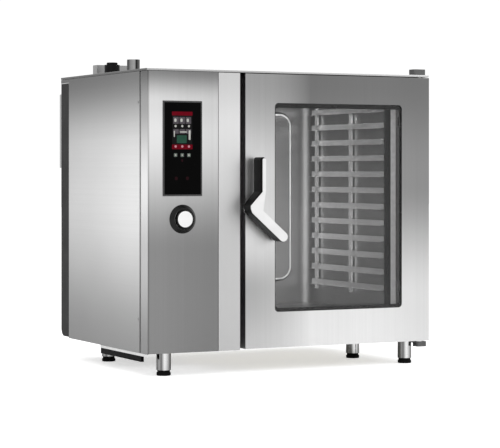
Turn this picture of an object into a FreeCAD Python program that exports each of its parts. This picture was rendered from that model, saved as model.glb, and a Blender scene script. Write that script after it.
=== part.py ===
import FreeCAD, Part
import math
import os

# Combi steamer oven, 12 levels for 2/1 gastronorm pans. Millimetres, +Z up, the door faces -Y.
# Drawn from the lower front left corner of the cabinet's outline at floor level
# (X right, Y back from the door's front face, Z up from the floor).
# save() moves every piece so that the origin is on the floor at the middle of the outline.

V = FreeCAD.Vector

# ---------------------------------------------------------------- driving dimensions
WIDTH = 1180.0             # cabinet, left side to right side
DEPTH = 840.0              # door front to cabinet back
FOOT_HEIGHT = 85.0         # floor to cabinet underside
BODY_HEIGHT = 1020.0       # cabinet underside to top
HANDLE_REACH = 75.0        # how far the door handle stands out in front
REAR_REACH = 25.0          # how far the water inlets stand out behind
SHEET = 1.5                # cosmetic stainless sheet
SCREW_R = 2.0              # panel screws
FRONT_DEPTH = 57.0         # door and control panel thickness
BODY_FRONT = 70.0          # front plane of the cabinet behind door and control panel

BASE = FOOT_HEIGHT
TOP = FOOT_HEIGHT + BODY_HEIGHT
LID_EDGE = 8.0             # height of the top cover's folded edge
PANEL_TOP = TOP - LID_EDGE - 1.0
POST_TOP = PANEL_TOP - 15.0

# the front, from left to right
FASCIA_RIGHT = 280.0
STRIP_LEFT = 282.5
STRIP_RIGHT = 370.0
DOOR_LEFT = 391.0
DOOR_BASE = BASE + 3.0
DOOR_TOP = PANEL_TOP - 2.0

# cooking chamber, inside faces
CHAMBER_LEFT = 400.0
CHAMBER_RIGHT = 1088.0
CHAMBER_BACK = 780.0
CHAMBER_BASE = BASE + 105.0
CHAMBER_TOP = BASE + 950.0
CHAMBER_CORNER = 45.0      # radius of the chamber's upright back corners
LINER = 1.5
EMBOSS = 9.0               # depth of the pressed panel in the back wall
EMBOSS_LEFT = 500.0
EMBOSS_RIGHT = 1000.0
EMBOSS_BASE = BASE + 197.0
EMBOSS_TOP = BASE + 896.0
EMBOSS_CORNER = 60.0
MOUTH_LEFT = 470.0         # left edge of the front opening; the right edge is CHAMBER_RIGHT
INSULATION = 25.0

# door window
WINDOW_LEFT = 512.0
WINDOW_RIGHT = 1058.0
WINDOW_BASE = BASE + 134.0
WINDOW_TOP = BASE + 903.0
WINDOW_CORNER = 15.0

# pan racks
LEVELS = 12
PITCH = 63.0               # shelf to shelf
FIRST_LEVEL = BASE + 188.0
RACK_FRONT = 136.0
RACK_BACK = 713.0
RACK_FACE_RIGHT = 1060.0   # inner face of the right rack
RACK_FACE_LEFT = 516.0     # inner face of the left rack
RUNNER_HEIGHT = 22.0
RUNNER_DEPTH = 14.0
TOP_LEVEL = FIRST_LEVEL + (LEVELS - 1) * PITCH

# door hinge line
HINGE_INSET = 28.0
HINGE_X = WIDTH - HINGE_INSET
HINGE_Y = 28.0
HINGE_PIN_R = 8.0
RUN_GAP = 0.08             # radial gap of every running fit

# controls
TOUCH_LEFT = 60.0
TOUCH_RIGHT = 215.0
TOUCH_BASE = BASE + 563.0
TOUCH_TOP = BASE + 904.0
KNOB_X = 138.0
KNOB_Z = BASE + 480.0
KNOB_R = 52.0
DIAL_R = 33.0

# handle
HANDLE_X = 402.0           # shaft centre
HANDLE_Z = BASE + 518.0
HANDLE_TIP_Z = BASE + 703.0
HANDLE_WIDTH = 36.0
SHAFT_R = 8.0

# fan, on the left wall of the chamber, axis along X
BAFFLE_X = 480.0
FAN_Y = 430.0
FAN_Z = BASE + 515.0
FAN_R = 150.0
FAN_WIDTH = 58.0
FAN_SHAFT_R = 10.0

FEET = ((95.0, 70.0), (1110.0, 66.0), (120.0, 640.0), (1030.0, 325.0))
FOOT_R = 26.5
INSERT_R = 23.0

MID_X = WIDTH / 2
MID_Y = (DEPTH + REAR_REACH - HANDLE_REACH) / 2


# ---------------------------------------------------------------- helpers
def save(name, shape):
    """Moves a finished piece into the part's frame and writes it."""
    if shape.isNull() or not shape.isValid():
        raise ValueError("bad shape: " + name)
    moved = shape.copy()
    moved.translate(V(-MID_X, -MID_Y, 0))
    moved.exportStep("parts/" + name + ".step")


def slab(x0, x1, y0, y1, z0, z1):
    """A box given by its low and high faces."""
    return Part.makeBox(x1 - x0, y1 - y0, z1 - z0, V(x0, y0, z0))


def rod(x, y, z, radius, length, axis=(0, 0, 1)):
    """A cylinder from (x, y, z) along an axis."""
    return Part.makeCylinder(radius, length, V(x, y, z), V(*axis))


def pipe(x, y, z, outer, inner, length, axis=(0, 0, 1)):
    """A tube from (x, y, z) along an axis."""
    return rod(x, y, z, outer, length, axis).cut(rod(x, y, z, inner, length, axis))


def plate(x0, x1, y0, y1, z0, z1, radius, normal="Z"):
    """A box whose four edges along its normal are rounded."""
    body = slab(x0, x1, y0, y1, z0, z1)
    index = "XYZ".index(normal)
    picked = []
    for edge in body.Edges:
        direction = edge.tangentAt(edge.FirstParameter)
        if abs(direction[index]) > 0.9:
            picked.append(edge)
    return body.makeFillet(radius, picked)


def group(pieces):
    """Separate solids kept in one node."""
    return Part.makeCompound(list(pieces))


def joined(pieces):
    """Pieces welded into one solid."""
    pieces = list(pieces)
    return pieces[0].multiFuse(pieces[1:]).removeSplitter()


def shell(x0, x1, y0, y1, z0, z1, t, open_side):
    """A folded sheet box of thickness t with one open side, such as "+X"."""
    low = [x0, y0, z0]
    high = [x1, y1, z1]
    inner_low = [v + t for v in low]
    inner_high = [v - t for v in high]
    index = "XYZ".index(open_side[1])
    if open_side[0] == "+":
        inner_high[index] = high[index] + 1
    else:
        inner_low[index] = low[index] - 1
    inner = slab(inner_low[0], inner_high[0], inner_low[1], inner_high[1], inner_low[2], inner_high[2])
    return slab(x0, x1, y0, y1, z0, z1).cut(inner)


def channel_ring(x0, x1, y0, y1, z0, z1, width, t):
    """A rectangular ring of C section, open to the inside."""
    ring = slab(x0, x1, y0, y1, z0, z1)
    ring = ring.cut(slab(x0 + width, x1 - width, y0 + width, y1 - width, z0, z1))
    return ring.cut(slab(x0 + t, x1 - t, y0 + t, y1 - t, z0 + t, z1 - t))


def screw(x, y, z, axis):
    """A pan-head screw seated at (x, y, z), its short shank pointing along axis."""
    shank = rod(x, y, z, SCREW_R, SHEET + 3, axis)
    away = (-axis[0], -axis[1], -axis[2])
    return joined([shank, rod(x, y, z, SCREW_R * 2.2, 1.6, away)])


# ---------------------------------------------------------------- base, feet and casing
FRAME_BASE = BASE
FRAME_TOP = FRAME_BASE + 30.0
FRAME_BACK = 812.0
TUBE = 30.0
TUBE_WALL = 2.0
FLANGE_R = 28.0
FLANGE_T = 5.0
SLEEVE_BASE = 20.0
SLEEVE_WALL = 2.5


def base_frame():
    ring = channel_ring(22, WIDTH - 22, BODY_FRONT + 3, FRAME_BACK, FRAME_BASE, FRAME_TOP, TUBE, TUBE_WALL)
    bars = [ring]
    for y in (FEET[3][1], FEET[2][1]):
        bars.append(slab(45, WIDTH - 45, y - 20, y + 20, FRAME_BASE, FRAME_BASE + 6))
    bars.append(slab(378, 384, BODY_FRONT + 20, FRAME_BACK - 20, FRAME_BASE, FRAME_TOP))
    return joined(bars)


def foot_sleeve(x, y):
    flange = rod(x, y, FRAME_BASE - FLANGE_T, FLANGE_R, FLANGE_T)
    sleeve = pipe(x, y, SLEEVE_BASE, FOOT_R, INSERT_R + RUN_GAP, FRAME_BASE - FLANGE_T - SLEEVE_BASE)
    return joined([flange, sleeve])


def foot_insert(x, y):
    pad = rod(x, y, 0, FOOT_R - 0.5, 12)
    pad = pad.makeChamfer(2.0, [e for e in pad.Edges if e.Closed])
    shank = rod(x, y, 12, INSERT_R, 45)
    return joined([pad, shank])


def side_screw_places(x):
    return [(x, 84, z) for z in (BASE + 120, BASE + 510, BASE + 900)]


def rear_screw_places():
    return [(x, DEPTH, z) for x in (60, 400, 800, WIDTH - 40) for z in (BASE + 20, PANEL_TOP - 24)]


def drilled(panel, places, axis):
    """A panel with a clearance hole through its sheet at each screw place."""
    holes = []
    for x, y, z in places:
        holes.append(rod(x - axis[0], y - axis[1], z, SCREW_R + 0.1, SHEET + 2, axis))
    return panel.cut(group(holes))


def left_side_panel():
    panel = shell(0, 20, BODY_FRONT, 755, BASE, PANEL_TOP, SHEET, "+X")
    strip = slab(0, SHEET, 754, DEPTH - 2, POST_TOP + 1, PANEL_TOP)
    return drilled(joined([panel, strip]), side_screw_places(0), (1, 0, 0))


def right_side_panel():
    panel = shell(WIDTH - 20, WIDTH, BODY_FRONT, DEPTH - 2, BASE, PANEL_TOP, SHEET, "-X")
    return drilled(panel, side_screw_places(WIDTH), (-1, 0, 0))


def rear_corner_post():
    """Black post that closes the left rear corner, with a rounded foot."""
    post = slab(1, 46, 757, DEPTH - 1, BASE + 4, POST_TOP)
    foot_edge = []
    for edge in post.Edges:
        mid = edge.valueAt((edge.FirstParameter + edge.LastParameter) / 2)
        if abs(mid.y - (DEPTH - 1)) < 0.1 and abs(mid.z - (BASE + 4)) < 0.1:
            foot_edge.append(edge)
    post = post.makeFillet(30, foot_edge)
    post = post.cut(slab(3, 47, 759, DEPTH - 3, BASE + 36, POST_TOP - 2))
    post = post.cut(slab(3, 47, 759, FRAME_BACK + 2, BASE, POST_TOP - 2))
    post = post.cut(slab(20, 47, 756, 760, BASE, FRAME_TOP + 1))
    return post


REAR_SKIN = DEPTH - 1.5
INLET_X = (150.0, 230.0)
INLET_Z = BASE + 120.0
DRAIN_X = 700.0
DRAIN_Z = BASE + 58.0
DRAIN_R = 20.0


def rear_panel():
    panel = slab(48, WIDTH - 22, REAR_SKIN, DEPTH, BASE + 1, PANEL_TOP)
    fold = slab(48, WIDTH - 22, REAR_SKIN - 16, REAR_SKIN, PANEL_TOP - SHEET, PANEL_TOP)
    cuts = []
    for x in INLET_X:
        cuts.append(rod(x, REAR_SKIN - 5, INLET_Z, 16, 10, (0, 1, 0)))
    cuts.append(rod(DRAIN_X, REAR_SKIN - 5, DRAIN_Z, DRAIN_R + 1, 10, (0, 1, 0)))
    for row in range(8):
        z = BASE + 250 + row * 18
        cuts.append(slab(120, 330, REAR_SKIN - 1, DEPTH + 1, z, z + 6))
    return drilled(joined([panel, fold]).cut(group(cuts)), rear_screw_places(), (0, -1, 0))


def rear_vent_cover():
    """Shallow louvred box over the cabinet's rear air outlet."""
    cover = shell(3, 760, DEPTH + 0.5, DEPTH + 21, BASE + 665, BASE + 955, 1.2, "-Y")
    slots = []
    for row in range(9):
        z = BASE + 700 + row * 26
        slots.append(slab(60, 340, DEPTH + 15, DEPTH + 25, z, z + 8))
        slots.append(slab(420, 700, DEPTH + 15, DEPTH + 25, z, z + 8))
    return cover.cut(group(slots))


CHIMNEY = (90.0, 331.0)
CAP = (95.0, 547.0)
CAP_R = 29.0
CAP_STUB_R = 25.0
CAP_BORE_R = 23.0
CAP_SHOULDER = 39.0        # height of the cap's wide part above the cover
CHIMNEY_R = 24.2
CHIMNEY_TOP = TOP + 48.0
FLUE_X = (75.0, 235.0)
FLUE_Y = (650.0, 692.0)
FLUE_HEIGHT = 44.0
CHIMNEY_BASE = TOP - 70.0
FLAP_Z = TOP - 35.0
FLAP_PIN_R = 3.0


def top_cover():
    cover = shell(0, WIDTH, 2, DEPTH, PANEL_TOP + 1, TOP, SHEET, "-Z")
    holes = [rod(CHIMNEY[0], CHIMNEY[1], TOP - 10, CHIMNEY_R + 1, 20)]
    holes.append(rod(CAP[0], CAP[1], TOP - 10, CAP_STUB_R + 2, 20))
    holes.append(rod(HINGE_X, HINGE_Y, TOP - 10, HINGE_PIN_R + 1.5, 20))
    holes.append(slab(FLUE_X[0] + 6, FLUE_X[1] - 6, FLUE_Y[0] + 6, FLUE_Y[1] - 6, TOP - 5, TOP + 5))
    return cover.cut(group(holes))


def flue_box():
    """Low box over the compartment's air outlet, with slots on its rear side."""
    box = shell(FLUE_X[0], FLUE_X[1], FLUE_Y[0], FLUE_Y[1], TOP, TOP + FLUE_HEIGHT, SHEET, "-Z")
    slots = []
    for i in range(6):
        x = FLUE_X[0] + 14 + i * 24
        slots.append(slab(x, x + 12, FLUE_Y[1] - 5, FLUE_Y[1] + 5, TOP + 14, TOP + 32))
    return box.cut(group(slots))


def chimney_tube():
    tube = pipe(CHIMNEY[0], CHIMNEY[1], CHIMNEY_BASE, CHIMNEY_R, CHIMNEY_R - 1.5, CHIMNEY_TOP - CHIMNEY_BASE)
    collar = pipe(CHIMNEY[0], CHIMNEY[1], TOP, CHIMNEY_R + 7, CHIMNEY_R - 1, 3)
    bore = rod(CHIMNEY[0] - 50, CHIMNEY[1], FLAP_Z, FLAP_PIN_R + RUN_GAP, 100, (1, 0, 0))
    return joined([tube, collar]).cut(bore)


def relief_cap():
    """Black capped stub of the overpressure outlet."""
    stub = pipe(CAP[0], CAP[1], TOP - 60, CAP_STUB_R, CAP_BORE_R, 60)
    shoulder = rod(CAP[0], CAP[1], TOP, CAP_R, CAP_SHOULDER)
    shoulder = shoulder.cut(rod(CAP[0], CAP[1], TOP - 1, CAP_BORE_R, CAP_SHOULDER - 9))
    crown = rod(CAP[0], CAP[1], TOP + CAP_SHOULDER, CAP_R - 8, 9)
    rim = [e for e in crown.Edges if e.Closed and e.BoundBox.ZMin > TOP + CAP_SHOULDER + 6]
    crown = crown.makeFillet(3, rim)
    return joined([stub, shoulder, crown])


def vent_flap():
    """Round damper plate on its spindle, closed when flat."""
    disc = rod(CHIMNEY[0], CHIMNEY[1], FLAP_Z - 1, CHIMNEY_R - 3, 2)
    spindle = rod(CHIMNEY[0] - 28, CHIMNEY[1], FLAP_Z, FLAP_PIN_R, 60, (1, 0, 0))
    return joined([disc, spindle])


def flap_actuator():
    """Small geared motor that turns the flap's spindle."""
    x = CHIMNEY[0] + 34
    case = slab(x, x + 40, CHIMNEY[1] - 22, CHIMNEY[1] + 22, FLAP_Z - 22, FLAP_Z + 22)
    arm = slab(x, x + 3, CHIMNEY[1] - 8, CHIMNEY[1] + 8, FLAP_Z + 22, PANEL_TOP + 1 + LID_EDGE - SHEET)
    case = case.cut(rod(x - 1, CHIMNEY[1], FLAP_Z, FLAP_PIN_R + RUN_GAP, 12, (1, 0, 0)))
    return joined([case, arm])


# ---------------------------------------------------------------- control panel
TOUCH_SEAT = 6.0


def stand_offs(places):
    """Welded legs that carry a front cover on the cabinet's front bulkhead."""
    legs = []
    for x in places:
        for z in (BASE + 150, BASE + 955):
            legs.append(slab(x, x + 3, SHEET, BODY_FRONT, z, z + 40))
    return legs


def control_fascia():
    body = shell(0, FASCIA_RIGHT, 0, FRONT_DEPTH, BASE, PANEL_TOP, SHEET, "+Y")
    window = slab(TOUCH_LEFT, TOUCH_RIGHT, -1, 10, TOUCH_BASE, TOUCH_TOP)
    knob_hole = rod(KNOB_X, -1, KNOB_Z, 16, 10, (0, 1, 0))
    return joined([body] + stand_offs((30, 230))).cut(window).cut(knob_hole)


def trim_strip():
    """Plain satin strip between the control panel and the door."""
    strip = shell(STRIP_LEFT, STRIP_RIGHT, 1.5, FRONT_DEPTH, BASE, PANEL_TOP - 1, SHEET, "+Y")
    return joined([strip] + stand_offs((STRIP_LEFT + 20, STRIP_RIGHT - 20)))


def touch_bezel():
    frame = slab(TOUCH_LEFT + 0.4, TOUCH_RIGHT - 0.4, -2.5, 8, TOUCH_BASE + 0.4, TOUCH_TOP - 0.4)
    frame = frame.cut(slab(TOUCH_LEFT + 5, TOUCH_RIGHT - 5, -5, 5, TOUCH_BASE + 5, TOUCH_TOP - 5))
    return frame.cut(slab(TOUCH_LEFT + 9, TOUCH_RIGHT - 9, 0, 10, TOUCH_BASE + 9, TOUCH_TOP - 9))


def touch_glass():
    return slab(TOUCH_LEFT + 5.3, TOUCH_RIGHT - 5.3, -1.5, 4.5, TOUCH_BASE + 5.3, TOUCH_TOP - 5.3)


def control_board():
    board = slab(TOUCH_LEFT + 2, TOUCH_RIGHT - 2, 30, 32, TOUCH_BASE + 5, TOUCH_TOP - 5)
    parts = [board]
    for i in range(4):
        z = TOUCH_BASE + 20 + i * 30
        parts.append(slab(TOUCH_LEFT + 15, TOUCH_LEFT + 45, 32, 44, z, z + 18))
    for i in range(3):
        parts.append(rod(TOUCH_RIGHT - 30, 32, TOUCH_BASE + 40 + i * 34, 10, 15, (0, 1, 0)))
    for x in (TOUCH_LEFT + 8, TOUCH_RIGHT - 16):
        for z in (TOUCH_BASE + 12, TOUCH_TOP - 20):
            parts.append(slab(x, x + 8, 8, 30, z, z + 8))
    return joined(parts)


ENCODER_FRONT = 3.0
KNOB_SHAFT_R = 3.0
PRESS_TRAVEL = 1.2


def encoder():
    """Rotary encoder with a push switch, clamped behind the panel."""
    body = slab(KNOB_X - 14, KNOB_X + 14, 12, 24, KNOB_Z - 14, KNOB_Z + 14)
    neck = rod(KNOB_X, ENCODER_FRONT, KNOB_Z, 8, 9, (0, 1, 0))
    bracket = slab(KNOB_X - 45, KNOB_X + 45, 10, 12, KNOB_Z - 20, KNOB_Z + 20)
    tabs = []
    for x in (KNOB_X - 45, KNOB_X + 35):
        tabs.append(slab(x, x + 10, SHEET, 10, KNOB_Z - 20, KNOB_Z + 20))
    whole = joined([body, neck, bracket] + tabs)
    return whole.cut(rod(KNOB_X, 2, KNOB_Z, KNOB_SHAFT_R + RUN_GAP, 19, (0, 1, 0)))


def knob_ring():
    """Black flared skirt, fixed to the panel, around the dial."""
    cone = Part.makeCone(KNOB_R, KNOB_R - 11, 14, V(KNOB_X, 0, KNOB_Z), V(0, -1, 0))
    bore = rod(KNOB_X, 1, KNOB_Z, DIAL_R + 1.0, 16, (0, -1, 0))
    floor = pipe(KNOB_X, -2, KNOB_Z, DIAL_R + 2, 10, 2, (0, 1, 0))
    return joined([cone.cut(bore), floor])


def knob_spindle():
    """Push spindle that carries the dial in and out."""
    shaft = rod(KNOB_X, -14, KNOB_Z, KNOB_SHAFT_R, 31, (0, 1, 0))
    collar = rod(KNOB_X, -6, KNOB_Z, 6, 2, (0, 1, 0))
    return joined([shaft, collar])


def knob_dial():
    face = rod(KNOB_X, -24, KNOB_Z, DIAL_R, 17, (0, 1, 0))
    face = face.makeFillet(4, [e for e in face.Edges if e.Closed and e.BoundBox.YMax < -23])
    back = rod(KNOB_X, -11, KNOB_Z, DIAL_R - 5, 5, (0, 1, 0))
    face = face.cut(back)
    hub = rod(KNOB_X, -11, KNOB_Z, 9, 4, (0, 1, 0))
    mark = slab(KNOB_X - 1.2, KNOB_X + 1.2, -25, -23.2, KNOB_Z + 20, KNOB_Z + 28)
    whole = joined([face, hub]).cut(mark)
    return whole.cut(rod(KNOB_X, -14 - RUN_GAP, KNOB_Z, KNOB_SHAFT_R + RUN_GAP, 10, (0, 1, 0)))


# ---------------------------------------------------------------- cooking chamber
def chamber_block(grow, y_front):
    """The chamber's filled shape, grown by a wall thickness, with rounded upright back corners."""
    block = slab(CHAMBER_LEFT - grow, CHAMBER_RIGHT + grow, y_front, CHAMBER_BACK + grow,
                 CHAMBER_BASE - grow, CHAMBER_TOP + grow)
    corners = []
    for edge in block.Edges:
        mid = edge.valueAt((edge.FirstParameter + edge.LastParameter) / 2)
        upright = abs(edge.tangentAt(edge.FirstParameter).z) > 0.9
        if upright and mid.y > CHAMBER_BACK - 1:
            corners.append(edge)
    return block.makeFillet(CHAMBER_CORNER + grow, corners)


STEAM_X = 160.0
STEAM_Y = 610.0
STEAM_Z = BASE + 455.0
STEAM_R = 12.0
EXHAUST_Z = TOP - 125.0
EXHAUST_R = 22.0
HEATER_PORT_Z = FAN_Z - 175.0
DRAIN_Y = 430.0


def cooking_chamber():
    liner = chamber_block(LINER, BODY_FRONT + 2).cut(chamber_block(0, BODY_FRONT))
    emboss = plate(EMBOSS_LEFT, EMBOSS_RIGHT, CHAMBER_BACK - EMBOSS, CHAMBER_BACK + 0.5,
                   EMBOSS_BASE, EMBOSS_TOP, EMBOSS_CORNER, "Y")
    front_rim = [e for e in emboss.Edges if abs(e.BoundBox.YMax - (CHAMBER_BACK - EMBOSS)) < 0.01]
    emboss = emboss.makeChamfer(EMBOSS - 1, front_rim)
    liner = joined([liner, emboss])
    wall = CHAMBER_LEFT - 10
    cuts = [rod(wall, FAN_Y, FAN_Z, FAN_SHAFT_R + 3, 20, (1, 0, 0))]
    cuts.append(rod(wall, STEAM_Y, STEAM_Z, STEAM_R + 0.5, 20, (1, 0, 0)))
    cuts.append(rod(wall, CHIMNEY[1], EXHAUST_Z, EXHAUST_R + 0.5, 20, (1, 0, 0)))
    for dy in (-20, 20):
        cuts.append(rod(wall, FAN_Y + dy, HEATER_PORT_Z, 6, 20, (1, 0, 0)))
    cuts.append(rod(DRAIN_X, DRAIN_Y, CHAMBER_BASE - 10, DRAIN_R + 0.5, 20))
    return liner.cut(group(cuts))


def chamber_insulation():
    outer = slab(CHAMBER_LEFT - LINER - INSULATION, CHAMBER_RIGHT + LINER + INSULATION, BODY_FRONT + 4,
                 CHAMBER_BACK + LINER + INSULATION, CHAMBER_BASE - LINER - INSULATION,
                 CHAMBER_TOP + LINER + INSULATION)
    wool = outer.cut(chamber_block(LINER + 0.5, BODY_FRONT))
    wall = CHAMBER_LEFT - 50
    cuts = [rod(wall, FAN_Y, FAN_Z, 62, 60, (1, 0, 0))]
    cuts.append(rod(wall, STEAM_Y, STEAM_Z, STEAM_R + 2, 60, (1, 0, 0)))
    cuts.append(rod(wall, CHIMNEY[1], EXHAUST_Z, EXHAUST_R + 2, 60, (1, 0, 0)))
    cuts.append(slab(wall, wall + 60, FAN_Y - 35, FAN_Y + 35, HEATER_PORT_Z - 15, HEATER_PORT_Z + 15))
    cuts.append(rod(DRAIN_X, DRAIN_Y, CHAMBER_BASE - 60, DRAIN_R + 2, 60))
    return wool.cut(group(cuts))


def front_frame():
    """Front bulkhead of the cabinet, with the chamber mouth and an opening behind the controls."""
    sheet = slab(22, WIDTH - 22, BODY_FRONT, BODY_FRONT + 2, FRAME_BASE, PANEL_TOP - 2)
    service = plate(50, 250, BODY_FRONT - 5, BODY_FRONT + 5, BASE + 250, BASE + 930, 20, "Y")
    mouth = slab(MOUTH_LEFT, CHAMBER_RIGHT, BODY_FRONT - 5, BODY_FRONT + 5, CHAMBER_BASE, CHAMBER_TOP)
    return sheet.cut(mouth).cut(service)


def door_gasket():
    """Silicone profile around the mouth, with a hollow lip that the door presses on."""
    y0 = FRONT_DEPTH + 0.5
    ring = plate(MOUTH_LEFT - 17, CHAMBER_RIGHT + 17, y0, BODY_FRONT, CHAMBER_BASE - 17, CHAMBER_TOP + 17,
                 12, "Y")
    return ring.cut(plate(MOUTH_LEFT - 1, CHAMBER_RIGHT + 1, y0 - 5, BODY_FRONT + 5,
                          CHAMBER_BASE - 1, CHAMBER_TOP + 1, 4, "Y"))


def fan_baffle():
    """Upright sheet that hides the fan, with a round grille and outlet slots at its edges."""
    sheet = plate(BAFFLE_X - 2, BAFFLE_X, 84, 774, CHAMBER_BASE + 12, CHAMBER_TOP - 12, 20, "X")
    cuts = []
    for ring in range(5):
        outer = 28 + ring * 22
        slot = rod(BAFFLE_X - 5, FAN_Y, FAN_Z, outer + 13, 10, (1, 0, 0))
        slot = slot.cut(rod(BAFFLE_X - 6, FAN_Y, FAN_Z, outer, 12, (1, 0, 0)))
        spokes = []
        for turn in (0, 45, 90, 135):
            spoke = slab(BAFFLE_X - 6, BAFFLE_X + 6, FAN_Y - 150, FAN_Y + 150, FAN_Z - 5, FAN_Z + 5)
            spoke.rotate(V(0, FAN_Y, FAN_Z), V(1, 0, 0), turn + 22.5)
            spokes.append(spoke)
        cuts.append(slot.cut(group(spokes)))
    for y in (100, 742):
        for i in range(10):
            z = CHAMBER_BASE + 45 + i * 74
            cuts.append(slab(BAFFLE_X - 5, BAFFLE_X + 5, y, y + 16, z, z + 56))
    sheet = sheet.cut(group(cuts))
    legs = []
    for y in (126, 730):
        for z in (CHAMBER_BASE + 40, CHAMBER_TOP - 60):
            legs.append(slab(CHAMBER_LEFT, BAFFLE_X - 1, y - 1.5, y + 1.5, z, z + 20))
    return joined([sheet] + legs)


def fan_wheel():
    """Radial fan wheel with its motor shaft."""
    x0 = CHAMBER_LEFT + 10
    back = rod(x0, FAN_Y, FAN_Z, FAN_R, 2, (1, 0, 0))
    front = pipe(x0 + FAN_WIDTH - 2, FAN_Y, FAN_Z, FAN_R, FAN_R - 35, 2, (1, 0, 0))
    hub = rod(x0, FAN_Y, FAN_Z, 24, 30, (1, 0, 0))
    shaft = rod(x0 - 175, FAN_Y, FAN_Z, FAN_SHAFT_R, 180, (1, 0, 0))
    pieces = [back, front, hub, shaft]
    for i in range(16):
        blade = slab(x0 + 1, x0 + FAN_WIDTH - 1, FAN_Y + FAN_R - 38, FAN_Y + FAN_R - 3, FAN_Z - 1, FAN_Z + 1)
        blade.rotate(V(0, FAN_Y + FAN_R - 3, FAN_Z), V(1, 0, 0), 35)
        blade.rotate(V(0, FAN_Y, FAN_Z), V(1, 0, 0), i * 22.5)
        pieces.append(blade)
    return joined(pieces)


def fan_motor():
    x1 = CHAMBER_LEFT - LINER
    flange = slab(x1 - 10, x1 - 6, FAN_Y - 50, FAN_Y + 50, FAN_Z - 30, FAN_Z + 30)
    case = rod(x1 - 160, FAN_Y, FAN_Z, 58, 150, (1, 0, 0))
    ribs = []
    for i in range(6):
        ribs.append(rod(x1 - 145 + i * 20, FAN_Y, FAN_Z, 61, 6, (1, 0, 0)))
    legs = []
    for dy in (-40, 40):
        legs.append(rod(x1 - 8, FAN_Y + dy, FAN_Z, 5, 8, (1, 0, 0)))
    body = joined([case, flange] + ribs + legs)
    bore = rod(x1 - 170, FAN_Y, FAN_Z, FAN_SHAFT_R + RUN_GAP, 200, (1, 0, 0))
    return body.cut(bore)


def heating_element():
    """Ring-shaped electric heater in two turns around the fan wheel, with its tails through the wall."""
    pieces = []
    for x in (CHAMBER_LEFT + 20, CHAMBER_LEFT + 50):
        pieces.append(Part.makeTorus(FAN_R + 22, 5, V(x, FAN_Y, FAN_Z), V(1, 0, 0)))
    bridge_z = FAN_Z + FAN_R + 22
    pieces.append(rod(CHAMBER_LEFT + 20, FAN_Y, bridge_z, 4, 30, (1, 0, 0)))
    for dy in (-20, 20):
        drop = FAN_Z - math.sqrt((FAN_R + 22) ** 2 - dy * dy)
        pieces.append(rod(CHAMBER_LEFT - 35, FAN_Y + dy, HEATER_PORT_Z, 4.5, 55, (1, 0, 0)))
        pieces.append(rod(CHAMBER_LEFT + 20, FAN_Y + dy, HEATER_PORT_Z - 4, 4.5, drop - HEATER_PORT_Z + 8))
    return joined(pieces)


def rack(side):
    """A hanging pan rack: three uprights and a runner for each level."""
    if side == "right":
        face, away = RACK_FACE_RIGHT, 1
    else:
        face, away = RACK_FACE_LEFT, -1
    pieces = []

    def bar(a, b, y0, y1, z0, z1):
        x0, x1 = sorted((face + a * away, face + b * away))
        return slab(x0, x1, y0, y1, z0, z1)

    for y in (RACK_FRONT, (RACK_FRONT + RACK_BACK) / 2 - 9, RACK_BACK - 18):
        pieces.append(bar(RUNNER_DEPTH, RUNNER_DEPTH + 9, y, y + 18, FIRST_LEVEL - 20,
                          TOP_LEVEL + RUNNER_HEIGHT + 8))
    for level in range(LEVELS):
        z = FIRST_LEVEL + level * PITCH
        pieces.append(bar(0, 1.5, RACK_FRONT, RACK_BACK, z, z + RUNNER_HEIGHT))
        flange_top = z + RUNNER_HEIGHT
        pieces.append(bar(0, RUNNER_DEPTH + 1, RACK_FRONT, RACK_BACK, flange_top - 1.5, flange_top))
        pieces.append(bar(-14, 1, RACK_FRONT, RACK_BACK, z, z + 1.5))
    holes = []
    for y, z in rack_pin_places():
        holes.append(rod(face - 30, y, z, 4.6, 60, (1, 0, 0)))
    return joined(pieces).cut(group(holes))


def rack_pin_places():
    out = []
    for y in (RACK_FRONT + 9, RACK_BACK - 9):
        for z in (FIRST_LEVEL - 10, TOP_LEVEL + RUNNER_HEIGHT + 5):
            out.append((y, z))
    return out


def rack_pins():
    """Studs on the chamber wall and on the baffle that the racks hang on."""
    out = []
    for y, z in rack_pin_places():
        x0 = RACK_FACE_RIGHT + RUNNER_DEPTH + 2
        out.append(rod(x0, y, z, 4.5, CHAMBER_RIGHT - x0, (1, 0, 0)))
        out.append(rod(BAFFLE_X, y, z, 4.5, RACK_FACE_LEFT - RUNNER_DEPTH - 2 - BAFFLE_X, (1, 0, 0)))
    return group(out)


def drain_pipe():
    """From the chamber floor down and back to the drain outlet."""
    drop = rod(DRAIN_X, DRAIN_Y, DRAIN_Z, DRAIN_R, CHAMBER_BASE - 1 - DRAIN_Z)
    knee = Part.makeSphere(DRAIN_R, V(DRAIN_X, DRAIN_Y, DRAIN_Z))
    run = rod(DRAIN_X, DRAIN_Y, DRAIN_Z, DRAIN_R, DEPTH + REAR_REACH - DRAIN_Y, (0, 1, 0))
    flange = rod(DRAIN_X, DEPTH + 0.5, DRAIN_Z, DRAIN_R + 7, 3.5, (0, 1, 0))
    body = joined([drop, knee, run, flange])
    wall = 1.5
    core = rod(DRAIN_X, DRAIN_Y, DRAIN_Z, DRAIN_R - wall, 100)
    core = core.fuse(Part.makeSphere(DRAIN_R - wall, V(DRAIN_X, DRAIN_Y, DRAIN_Z)))
    core = core.fuse(rod(DRAIN_X, DRAIN_Y, DRAIN_Z, DRAIN_R - wall, DEPTH, (0, 1, 0)))
    return body.cut(core)


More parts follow.
